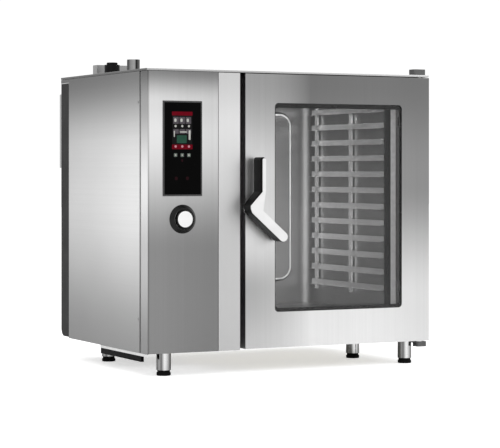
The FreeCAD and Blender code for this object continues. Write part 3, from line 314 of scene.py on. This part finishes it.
# Its folded side return faces another way: there a painted reflection raises the tone, most of all a third
# of the way up.
RETURN_EDGE = ("X", LEFT, LEFT + 0.004, ((0.3, 1.0), (0.6, 0.0)))
RETURN_EDGE_Z = ("Z", BASE, TOP, ((0.0, 1.05), (0.36, 1.45), (0.9, 0.78)))
# The lid's edge: a painted reflection, dark with a lighter top, and a painted highlight along its front.
LID_Z = ("Z", TOP - 0.009, TOP, ((0.0, 0.38), (0.8, 0.40), (1.0, 0.62)))
LID_Y = ("Y", FRONT, FRONT + 0.02, ((0.15, 1.7), (0.3, 1.0)))
# Painted shade in the cooking chamber: its liner darkens towards the top.
CHAMBER_Z = ("Z", BASE + 0.10, BASE + 0.95, ((0.2, 0.56), (1.0, 0.41)))
# A painted reflection on the satin strip: lightest at four fifths of its height.
STRIP_Z = ("Z", BASE, TOP, ((0.4, 0.75), (0.8, 0.84), (1.0, 0.76)))
# Painted reflections on the door: bright at its foot and darker upwards, except beside the handle, where a
# painted reflection keeps it light.
DOOR_Z = ("Z", BASE, TOP, ((0.0, 0.90), (0.15, 0.88), (0.6, 0.55), (1.0, 0.41)))
DOOR_X = ("X", LEFT + 0.39, RIGHT, ((0.6, 1.0), (1.0, 0.95)))
DOOR_EDGE = ("X", LEFT + 0.39, LEFT + 0.66, ((0.0, 1.0), (1.0, 0.0)))
DOOR_EDGE_Z = ("Z", BASE, TOP, ((0.0, 0.85), (0.2, 0.77), (0.62, 1.5), (1.0, 1.4)))

STEEL_SIDE = brushed("stainless_side", "Y", painted_light_ramps=(SIDE_Z, SIDE_Y), rough=0.34)
STEEL_PANEL = brushed("stainless_panel", "Z", painted_light_ramps=(PANEL_Z, PANEL_X), rough=0.34,
                      edge=(RETURN_EDGE, RETURN_EDGE_Z))
STEEL_DOOR = brushed("stainless_door", "Z", painted_light_ramps=(DOOR_Z, DOOR_X), rough=0.34,
                     edge=(DOOR_EDGE, DOOR_EDGE_Z))
STEEL_TOP = brushed("stainless_top", "X", painted_light_ramps=(LID_Z, LID_Y), rough=0.34)
STEEL_STRIP = brushed("satin_strip", "Z", rough=0.42, grain=0.4, painted_light_ramps=(STRIP_Z,))
STEEL_REAR = brushed("stainless_rear", "X", level=0.72, rough=0.4)
STEEL_FRAME = brushed("frame_steel", "X", level=0.42, rough=0.45, grain=1.5)
STEEL_CHAMBER = brushed("chamber_steel", "Z", rough=0.40, grain=0.2, painted_light_ramps=(CHAMBER_Z,))
STEEL_RACK = brushed("rack_steel", "Y", level=0.88, rough=0.2, grain=0.4)
# Painted shade: the grey of the shaded groove beside the control panel, on a filler strip.
SEAM_PAINTED_SHADE = brushed("seam_painted_shade", "Z", level=0.60, rough=0.5, grain=0.4)
# Painted highlight: the bead is a brighter copy of the chamber steel, standing for the light on the pressed
# panel's edge.
BEAD_PAINTED_HIGHLIGHT = brushed("bead_painted_highlight", "Z", level=0.97, rough=0.5, grain=0.2)
# Painted highlight: the profile beside the inner glass is given a glow instead of a reflection.
PROFILE_PAINTED_HIGHLIGHT = glowing("profile_painted_highlight", grey(0.60), 0.45)
STEEL_BRIGHT = brushed("bright_steel", "Z", level=0.88, rough=0.12, grain=0.5)
STEEL_DUCT = brushed("duct_steel", "Z", level=0.7, rough=0.3)
STEEL_DARK = brushed("heater_sheath", "X", level=0.36, rough=0.4, tint=colour(1.0, 0.93, 0.85))
BRASS = brushed("brass", "Y", level=0.85, rough=0.3, tint=colour(0.92, 0.76, 0.48))
DIAL = brushed("dial_face", "X", level=0.93, rough=0.38, grain=0.5)
HANDLE_SILVER = coated("handle_silver", grey(0.87), rough=0.32, metallic=0.25, grit=1600, depth=0.00003,
                       spread=0.03)
BLACK_GRIP = coated("black_grip", grey(0.04), rough=0.42, shine=0.08)
BLACK_DULL = coated("black_dull", grey(0.05), rough=0.5, shine=0.12)
FILTER_BLACK = two_tone("filter_black", "Z", BASE - 0.011, 0.02, 0.86)
# Painted reflections on the feet's tubes and the chimney: streak levels set by facing across the view.
FOOT_TUBE = polished_tube("foot_tube", ((0.0, 0.3), (0.22, 0.6), (0.36, 0.43), (0.6, 0.9), (1.0, 0.4)))
FLUE_TUBE = polished_tube("flue_tube", ((0.0, 0.1), (0.4, 0.6), (0.6, 0.65), (0.76, 0.06), (1.0, 0.45)))
BLACK_GLOSS = coated("black_gloss", grey(0.03), rough=0.16, depth=0.00002, shine=0.25)
POST_BLACK = coated("post_powder_coat", grey(0.09), rough=0.5, depth=0.00008, shine=0.15)
CAST_DARK = coated("cast_hinge", grey(0.36), rough=0.5, grit=500, depth=0.00015, metallic=0.6)
SILICONE = coated("silicone", grey(0.08), rough=0.55, depth=0.00002, shine=0.2)
RUBBER = coated("foot_rubber", grey(0.04), rough=0.7, shine=0.1)
WOOL = coated("mineral_wool", colour(0.74, 0.70, 0.55), rough=0.95, grit=320, depth=0.0012, spread=0.25)
MOTOR = coated("motor_paint", grey(0.33), rough=0.4)
BOARD = coated("circuit_board", colour(0.06, 0.33, 0.18), rough=0.4, spread=0.3)
ELECTRICS = coated("electrics", grey(0.62), rough=0.5)
BEZEL = coated("bezel", grey(0.20), rough=0.35)
SCREEN = coated("screen_glass", grey(0.015), rough=0.06, depth=0.000003, shine=0.03)
GLASS = pane("window_glass", tint=0.98)
INNER_GLASS = pane("inner_window_glass", tint=0.985)
PRINT_BLACK = coated("black_print", grey(0.04), rough=0.25, shine=0.1)
LAMP_CHANNEL = coated("lamp_channel", grey(0.85), rough=0.3)

# which CAD nodes each material goes on
FINISH = {
    STEEL_SIDE: ("left_side_panel", "right_side_panel", "panel_screws"),
    STEEL_PANEL: ("control_fascia",),
    STEEL_DOOR: ("door_skin",),
    STEEL_TOP: ("top_cover", "flue_box"),
    STEEL_STRIP: ("trim_strip",),
    STEEL_REAR: ("rear_panel", "rear_vent_cover", "filter_rails"),
    STEEL_FRAME: ("base_frame", "front_frame"),
    STEEL_CHAMBER: ("cooking_chamber", "fan_baffle", "door_inner_frame"),
    STEEL_RACK: ("rack_left", "rack_right"),
    FOOT_TUBE: ("foot_sleeves",),
    FLUE_TUBE: ("chimney_tube",),
    FILTER_BLACK: ("air_filter",),
    BLACK_DULL: ("relief_cap", "latch_keepers", "encoder"),
    STEEL_BRIGHT: ("hinge_pins", "knob_spindle", "latch_shaft", "rack_pins", "inner_glass_hinges",
                   "hinge_bushes", "handle_base", "vent_flap"),
    STEEL_DUCT: ("drain_pipe", "exhaust_duct", "steam_boiler", "steam_pipe", "fan_wheel"),
    STEEL_DARK: ("heating_element",),
    BRASS: ("inlet_valves",),
    DIAL: ("knob_dial",),
    HANDLE_SILVER: ("handle_cover",),
    BLACK_GRIP: ("handle_grip", "cooling_fan_housing", "cooling_fan_wheel"),
    BLACK_GLOSS: ("knob_ring",),
    POST_BLACK: ("rear_corner_post",),
    CAST_DARK: ("hinge_brackets",),
    SILICONE: ("door_gasket",),
    RUBBER: ("foot_inserts",),
    WOOL: ("chamber_insulation",),
    MOTOR: ("fan_motor", "flap_actuator", "latch_case"),
    BOARD: ("control_board",),
    ELECTRICS: ("electrics_plate",),
    BEZEL: ("touch_bezel",),
    SCREEN: ("touch_glass",),
    GLASS: ("outer_glass",),
    INNER_GLASS: ("inner_glass",),
    LAMP_CHANNEL: ("door_lamp",),
}
for material, names in FINISH.items():
    for node_name in names:
        slots = NODES[node_name].data.materials
        slots.clear()
        slots.append(material)


# ---------------------------------------------------------------- mesh helpers
def add_mesh(name, build, material, body, smooth=True):
    """Makes an object from a bmesh-building function, gives it a material and lets it ride on a body."""
    work = bmesh.new()
    build(work)
    mesh = bpy.data.meshes.new(name)
    bmesh.ops.recalc_face_normals(work, faces=work.faces)
    work.to_mesh(mesh)
    work.free()
    piece = bpy.data.objects.new(name, mesh)
    bpy.context.scene.collection.objects.link(piece)
    mesh.materials.append(material)
    if smooth:
        shade_smooth(piece)
    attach(piece, body)
    return piece


def shade_smooth(piece, angle=35):
    """Smooth faces with sharp edges kept above an angle."""
    work = bmesh.new()
    work.from_mesh(piece.data)
    limit = math.radians(angle)
    for face in work.faces:
        face.smooth = True
    for edge in work.edges:
        if len(edge.link_faces) == 2 and edge.calc_face_angle(0.0) > limit:
            edge.smooth = False
    work.to_mesh(piece.data)
    work.free()


def refined(node, name, material, body, width=0.0008, segments=3, angle=30):
    """Stands for a CAD node: the same shape with small rounded edges that catch the light."""
    mesh = NODES[node].data.copy()
    mesh.name = name
    work = bmesh.new()
    work.from_mesh(mesh)
    bmesh.ops.remove_doubles(work, verts=work.verts, dist=1e-6)
    bmesh.ops.dissolve_limit(work, angle_limit=math.radians(0.6), verts=work.verts, edges=work.edges)
    work.to_mesh(mesh)
    work.free()
    mesh.materials.clear()
    mesh.materials.append(material)
    piece = bpy.data.objects.new(name, mesh)
    bpy.context.scene.collection.objects.link(piece)
    bevel = piece.modifiers.new("edge", "BEVEL")
    bevel.width = width
    bevel.segments = segments
    bevel.limit_method = "ANGLE"
    bevel.angle_limit = math.radians(angle)
    shade_smooth(piece)
    weighted = piece.modifiers.new("weighted", "WEIGHTED_NORMAL")
    weighted.keep_sharp = True
    apply_modifiers(piece)
    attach(piece, body)
    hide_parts(node)
    return piece


def apply_modifiers(piece):
    graph = bpy.context.evaluated_depsgraph_get()
    done = bpy.data.meshes.new_from_object(piece.evaluated_get(graph))
    piece.modifiers.clear()
    old = piece.data
    piece.data = done
    bpy.data.meshes.remove(old)


def rounded_outline(x0, x1, z0, z1, radius, steps=5):
    """Corner points of a rounded rectangle in the XZ plane."""
    points = []
    for cx, cz, start in ((x1 - radius, z1 - radius, 0), (x0 + radius, z1 - radius, 90),
                          (x0 + radius, z0 + radius, 180), (x1 - radius, z0 + radius, 270)):
        for i in range(steps + 1):
            turn = math.radians(start + 90 * i / steps)
            points.append((cx + radius * math.cos(turn), cz + radius * math.sin(turn)))
    return points


def extrude_outline(work, outline, y_front, y_back):
    """A closed flat prism from an XZ outline."""
    front = [work.verts.new((x, y_front, z)) for x, z in outline]
    back = [work.verts.new((x, y_back, z)) for x, z in outline]
    work.faces.new(front)
    work.faces.new(list(reversed(back)))
    for i in range(len(outline)):
        j = (i + 1) % len(outline)
        work.faces.new((front[i], front[j], back[j], back[i]))


def extrude_frame(work, outer, inner, y_front, y_back):
    """A closed flat ring between two XZ outlines with the same number of points."""
    rows = []
    for outline, y in ((outer, y_front), (outer, y_back), (inner, y_back), (inner, y_front)):
        rows.append([work.verts.new((x, y, z)) for x, z in outline])
    count = len(outer)
    for r in range(4):
        a, b = rows[r], rows[(r + 1) % 4]
        for i in range(count):
            j = (i + 1) % count
            work.faces.new((a[i], a[j], b[j], b[i]))


def lathe(work, profile, centre, steps=72):
    """Turns a closed (radius, depth) profile about an axis along Y; depth grows towards the front."""
    rings = []
    for radius, depth in profile:
        ring = []
        for i in range(steps):
            turn = 2 * math.pi * i / steps
            ring.append(work.verts.new((centre[0] + radius * math.cos(turn), centre[1] - depth,
                                        centre[2] + radius * math.sin(turn))))
        rings.append(ring)
    for a, b in zip(rings, rings[1:] + rings[:1]):
        for i in range(steps):
            j = (i + 1) % steps
            work.faces.new((a[i], a[j], b[j], b[i]))


# ---------------------------------------------------------------- casing with rounded edges
for node_name, material, body_name in (
        ("control_fascia", STEEL_PANEL, "cabinet"), ("trim_strip", STEEL_STRIP, "cabinet"),
        ("left_side_panel", STEEL_SIDE, "cabinet"), ("right_side_panel", STEEL_SIDE, "cabinet"),
        ("top_cover", STEEL_TOP, "cabinet"), ("rear_corner_post", POST_BLACK, "cabinet"),
        ("flue_box", STEEL_TOP, "cabinet"), ("rear_vent_cover", STEEL_REAR, "cabinet"),
        ("door_skin", STEEL_DOOR, "door"), ("hinge_brackets", CAST_DARK, "cabinet")):
    refined(node_name, node_name + "_shell", material, body_name, width=0.0010)
refined("handle_grip", "handle_grip_moulded", BLACK_GRIP, "handle", width=0.004, segments=5)
refined("handle_cover", "handle_cover_plate", HANDLE_SILVER, "handle", width=0.0016, segments=4)


# ---------------------------------------------------------------- touch screen
def screen():
    """Lit areas on the black touch glass: red bars, tiles and plain marks, with no lettering."""
    low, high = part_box("touch_glass")
    face = low.y
    left = low.x + 0.031
    right = left + 0.079
    top = high.z - 0.034
    bottom = top - 0.133
    across = right - left
    lift = 0.0003

    def plate(work, x0, x1, z0, z1, radius, level=1):
        extrude_outline(work, rounded_outline(x0, x1, z0, z1, radius, 3), face - lift * level, face + 0.0002)

    def grid(work, columns, size, z, radius, first=0.5, level=2):
        step = across / columns
        for i in range(columns):
            x = left + step * (i + first)
            plate(work, x - size / 2, x + size / 2, z - size / 2, z + size / 2, radius, level)

    def backdrop(work):
        plate(work, left, right, bottom, top, 0.002)

    def red_bars(work):
        plate(work, left - 0.001, right + 0.001, top - 0.013, top + 0.001, 0.002, 2)
        plate(work, left - 0.001, right + 0.001, bottom - 0.001, bottom + 0.016, 0.002, 2)

    def grey_tiles(work):
        for i in range(3):
            x = left + 0.004 + i * 0.0245
            plate(work, x, x + 0.0215, top - 0.043, top - 0.018, 0.002, 2)
        for i in range(3):
            x = left + 0.004 + i * 0.0245
            plate(work, x, x + 0.0215, top - 0.078, top - 0.062, 0.002, 2)

    def pale_marks(work):
        grid(work, 3, 0.0085, top - 0.051, 0.0042)
        for x in (0.012, 0.036, 0.061):
            plate(work, left + x - 0.004, left + x + 0.0045, top - 0.036, top - 0.024, 0.003, 3)
        plate(work, left + 0.006, left + 0.010, top - 0.090, top - 0.068, 0.0015, 3)
        plate(work, right - 0.014, right - 0.007, top - 0.100, top - 0.066, 0.0015, 3)
        plate(work, left + 0.030, left + 0.058, top - 0.074, top - 0.070, 0.0015, 3)

    def green_field(work):
        plate(work, left + 0.018, right - 0.022, top - 0.112, top - 0.084, 0.002, 2)

    def pink_marks(work):
        grid(work, 3, 0.009, bottom + 0.009, 0.0045, level=3)

    def key_marks(work):
        grid(work, 3, 0.013, bottom - 0.022, 0.003, level=1)

    def key_cores(work):
        grid(work, 3, 0.006, bottom - 0.022, 0.003, level=2)

    def dim_marks(work):
        plate(work, left + 0.036, left + 0.043, bottom - 0.046, bottom - 0.036, 0.002)
        for x in (0.016, 0.060):
            plate(work, left + x - 0.006, left + x + 0.006, bottom - 0.112, bottom - 0.099, 0.005)

    for name, build, shade, power in (
            ("screen_backdrop", backdrop, grey(0.08), 1.0),
            ("screen_red_bars", red_bars, colour(0.40, 0.01, 0.08), 1.0),
            ("screen_tiles", grey_tiles, colour(0.36, 0.34, 0.36), 0.8),
            ("screen_marks", pale_marks, colour(0.72, 0.72, 0.70), 1.0),
            ("screen_green_field", green_field, colour(0.16, 0.30, 0.24), 1.0),
            ("screen_pink_marks", pink_marks, colour(0.75, 0.52, 0.56), 1.0),
            ("touch_keys", key_marks, colour(0.40, 0.44, 0.41), 0.9),
            ("touch_key_cores", key_cores, colour(0.70, 0.68, 0.66), 1.0),
            ("touch_marks_dim", dim_marks, colour(0.13, 0.04, 0.06), 1.0)):
        add_mesh(name, build, glowing(name + "_light", shade, power, body=0.08), "cabinet", smooth=False)


screen()


# ---------------------------------------------------------------- knob
AXIS_HOLE = 0.0002         # radius left open on the axis of a turned piece
KNOB_STEPS = 96


def knob():
    """A thin bright rim on the flared gloss skirt, and a black gloss dial with a rounded edge and a dished
    silver face.
    """
    low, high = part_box("knob_dial")
    centre = ((low.x + high.x) / 2, high.y, (low.z + high.z) / 2)
    radius = (high.x - low.x) / 2
    depth = high.y - low.y

    def dial(work):
        outline = [(AXIS_HOLE, 0.001), (radius * 0.93, 0.0005)]
        outline += [(radius * 0.99, 0.002), (radius * 0.99, depth * 0.62)]
        for i in range(7):
            turn = math.radians(90 * i / 6)
            out = radius - 0.004 + 0.0039 * math.cos(turn)
            outline.append((out, depth - 0.0042 + 0.004 * math.sin(turn)))
        outline += [(radius * 0.93, depth - 0.0006), (radius * 0.91, depth - 0.0018)]
        outline.append((AXIS_HOLE, depth - 0.0018))
        lathe(work, outline, centre, KNOB_STEPS)

    def face(work):
        edge = radius * 0.90
        outline = [(AXIS_HOLE, depth - 0.0020), (edge, depth - 0.0020), (edge, depth - 0.0010)]
        outline += [(edge - 0.0008, depth - 0.0004), (edge * 0.6, depth - 0.0008)]
        outline.append((AXIS_HOLE, depth - 0.0009))
        lathe(work, outline, centre, KNOB_STEPS)

    low_skirt, high_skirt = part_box("knob_ring")
    skirt_front = high_skirt.y - low_skirt.y
    hub = (centre[0], high_skirt.y, centre[2])

    def rim(work):
        r0, r1, y0 = radius + 0.0032, radius + 0.0046, skirt_front - 0.004
        outline = [(r0, y0), (r1, y0), (r1, y0 + 0.0045), (r0 + 0.001, y0 + 0.0052), (r0, y0 + 0.0045)]
        lathe(work, outline, hub, KNOB_STEPS)

    piece = add_mesh("knob_dial_turned", dial, BLACK_GLOSS, "knob_dial")
    add_mesh("knob_dial_face", face, DIAL, "knob_dial")
    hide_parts("knob_dial")
    add_mesh("knob_rim_line", rim, STEEL_BRIGHT, "cabinet")


knob()


# ---------------------------------------------------------------- window print
def window_print():
    """The black printed border on the back of the outer glass."""
    low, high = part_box("outer_glass")
    edge = 0.009
    outer = rounded_outline(low.x + 0.001, high.x - 0.001, low.z + 0.001, high.z - 0.001, 0.011)
    inner = rounded_outline(low.x + edge + 0.006, high.x - edge - 0.006,
                            low.z + edge + 0.014, high.z - edge - 0.017, 0.012)

    def border(work):
        extrude_frame(work, outer, inner, high.y + 0.0001, high.y + 0.0004)

    add_mesh("window_border_print", border, PRINT_BLACK, "door", smooth=False)


window_print()


# ---------------------------------------------------------------- seam behind the control panel
SEAM_FRONT = FRONT + 0.0565
SEAM_DEPTH = 0.0128


def seam_strip():
    """Filler strip at the bottom of the groove between the control panel and the side panel, giving the
    groove its painted grey shade.
    """
    outline = rounded_outline(LEFT + 0.003, LEFT + 0.006, BASE + 0.003, TOP - 0.011, 0.001, 2)

    def strip(work):
        extrude_outline(work, outline, SEAM_FRONT, SEAM_FRONT + SEAM_DEPTH)

    add_mesh("seam_strip", strip, SEAM_PAINTED_SHADE, "cabinet", smooth=False)


seam_strip()


# ---------------------------------------------------------------- inside the window
RIM_LEFT = LEFT + 0.508    # outer edges of the bead
RIM_RIGHT = LEFT + 0.992
RIM_BASE = BASE + 0.205
RIM_TOP = BASE + 0.888
RIM_WIDTH = 0.006
RIM_RADIUS = 0.052
RIM_SINK = 0.0102          # from the back of the chamber's liner forward to the bead
# distances in from the window's hinge side to the seal and to both sides of the bright profile
SEAL_FROM, PROFILE_FROM, PROFILE_TO = 0.057, 0.032, 0.011


def pressed_rim():
    """Bead round the panel pressed into the chamber's back wall, brighter than the wall as a painted
    highlight along the pressed edge.
    """
    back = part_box("cooking_chamber")[1].y - RIM_SINK
    outer = rounded_outline(RIM_LEFT, RIM_RIGHT, RIM_BASE, RIM_TOP, RIM_RADIUS, 10)
    inner = rounded_outline(RIM_LEFT + RIM_WIDTH, RIM_RIGHT - RIM_WIDTH, RIM_BASE + RIM_WIDTH,
                            RIM_TOP - RIM_WIDTH, RIM_RADIUS - RIM_WIDTH, 10)

    def bead(work):
        extrude_frame(work, outer, inner, back - 0.0025, back + 0.0004)

    add_mesh("pressed_panel_rim", bead, BEAD_PAINTED_HIGHLIGHT, "cabinet", smooth=False)


def inner_glass_edge():
    """Dark seal and a profile along the hinge side of the inner glass; the profile glows as a painted
    highlight.
    """
    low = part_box("inner_glass")[0]
    window_low, window_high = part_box("outer_glass")
    y0, y1 = low.y - 0.0042, low.y - 0.0004
    z0, z1 = window_low.z + 0.004, window_high.z - 0.004
    hinge_side = window_high.x

    def seal(work):
        outline = rounded_outline(hinge_side - SEAL_FROM, hinge_side - PROFILE_FROM, z0, z1, 0.003, 3)
        extrude_outline(work, outline, y0, y1)

    def profile(work):
        outline = rounded_outline(hinge_side - PROFILE_FROM, hinge_side - PROFILE_TO, z0, z1, 0.003, 3)
        extrude_outline(work, outline, y0 - 0.003, y1)

    add_mesh("inner_glass_seal", seal, SILICONE, "door", smooth=False)
    add_mesh("inner_glass_profile", profile, PROFILE_PAINTED_HIGHLIGHT, "door", smooth=False)


pressed_rim()
inner_glass_edge()


# ---------------------------------------------------------------- stage, lights and camera
FLOOR_GLOW = 0.16          # of the floor as the object reflects it
FLOOR_GLOW_SEEN = 0.55     # and as the camera sees it
FLOOR_HALF = 30.0
WORLD_GLOW = 0.92
WORLD_GLOW_SEEN = 1.05
EYE_ASIDE = 2.769          # camera, left of the cabinet's left side
EYE_BEFORE = 6.238         # and in front of the door
EYE_ABOVE = 0.6527         # and above the cabinet's underside
LENS = 138.0
LENS_SHIFT = -0.106


def stage():
    floor_mesh = bpy.data.meshes.new("floor")
    corners = [(x * FLOOR_HALF, y * FLOOR_HALF, 0) for x, y in ((-1, -1), (1, -1), (1, 1), (-1, 1))]
    floor_mesh.from_pydata(corners, [], [(0, 1, 2, 3)])
    floor = bpy.data.objects.new("floor", floor_mesh)
    bpy.context.scene.collection.objects.link(floor)
    pale = coated("floor_pale", grey(0.985), rough=0.9, depth=0.00001, spread=0.004)
    surface = pale.node_tree.nodes["Principled BSDF"]
    surface.inputs["Emission Color"].default_value = (1, 1, 1, 1)
    seen = pale.node_tree.nodes.new("ShaderNodeLightPath")
    glow = pale.node_tree.nodes.new("ShaderNodeMapRange")
    glow.inputs["To Min"].default_value = FLOOR_GLOW
    glow.inputs["To Max"].default_value = FLOOR_GLOW_SEEN
    pale.node_tree.links.new(seen.outputs["Is Camera Ray"], glow.inputs["Value"])
    pale.node_tree.links.new(glow.outputs["Result"], surface.inputs["Emission Strength"])
    floor_mesh.materials.append(pale)


def area_light(name, place, target, size, power, tint=(1, 1, 1)):
    light = bpy.data.lights.new(name, "AREA")
    light.shape = "RECTANGLE"
    light.size, light.size_y = size
    light.energy = power
    light.color = tint
    lamp = bpy.data.objects.new(name, light)
    bpy.context.scene.collection.objects.link(lamp)
    lamp.location = place
    lamp.rotation_euler = (Vector(target) - Vector(place)).to_track_quat("-Z", "Y").to_euler()
    lamp.visible_camera = False
    return lamp


def surroundings():
    """White surroundings: full white behind the object, a little less in reflections."""
    world = bpy.data.worlds.new("studio")
    bpy.context.scene.world = world
    world.use_nodes = True
    tree = world.node_tree
    back = tree.nodes["Background"]
    back.inputs["Color"].default_value = (1, 1, 1, 1)
    path = tree.nodes.new("ShaderNodeLightPath")
    power = tree.nodes.new("ShaderNodeMapRange")
    power.inputs["To Min"].default_value = WORLD_GLOW
    power.inputs["To Max"].default_value = WORLD_GLOW_SEEN
    tree.links.new(path.outputs["Is Camera Ray"], power.inputs["Value"])
    tree.links.new(power.outputs["Result"], back.inputs["Strength"])


def camera():
    """The viewpoint: front left, just above the middle, with a long lens held level."""
    lens = bpy.data.cameras.new("camera")
    eye = bpy.data.objects.new("camera", lens)
    bpy.context.scene.collection.objects.link(eye)
    eye.location = (LEFT - EYE_ASIDE, FRONT - EYE_BEFORE, BASE + EYE_ABOVE)
    eye.rotation_euler = (math.radians(90), 0, VIEW_TURN)
    lens.sensor_width = 36
    lens.lens = LENS
    lens.shift_y = LENS_SHIFT
    lens.clip_end = 100
    bpy.context.scene.camera = eye


stage()
surroundings()
middle = ((LEFT + RIGHT) / 2, 0, BASE + HEIGHT / 2)
area_light("key", (-3.5, -4.5, 3.6), middle, (2.5, 2.5), 60)
area_light("fill", (3.5, -4.0, 2.2), middle, (2.0, 2.0), 25)
chamber_low, chamber_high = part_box("cooking_chamber")
chamber_mid = (chamber_low + chamber_high) / 2
area_light("chamber_glow", (chamber_mid.x, chamber_low.y + 0.05, chamber_high.z - 0.03),
           (chamber_mid.x, chamber_mid.y, chamber_low.z), (0.5, 0.05), 3.5)
area_light("chamber_front", (chamber_mid.x, chamber_low.y + 0.02, chamber_mid.z),
           (chamber_mid.x, chamber_high.y, chamber_mid.z), (0.55, 0.80), 4)
camera()
bpy.context.scene.view_settings.view_transform = "Standard"
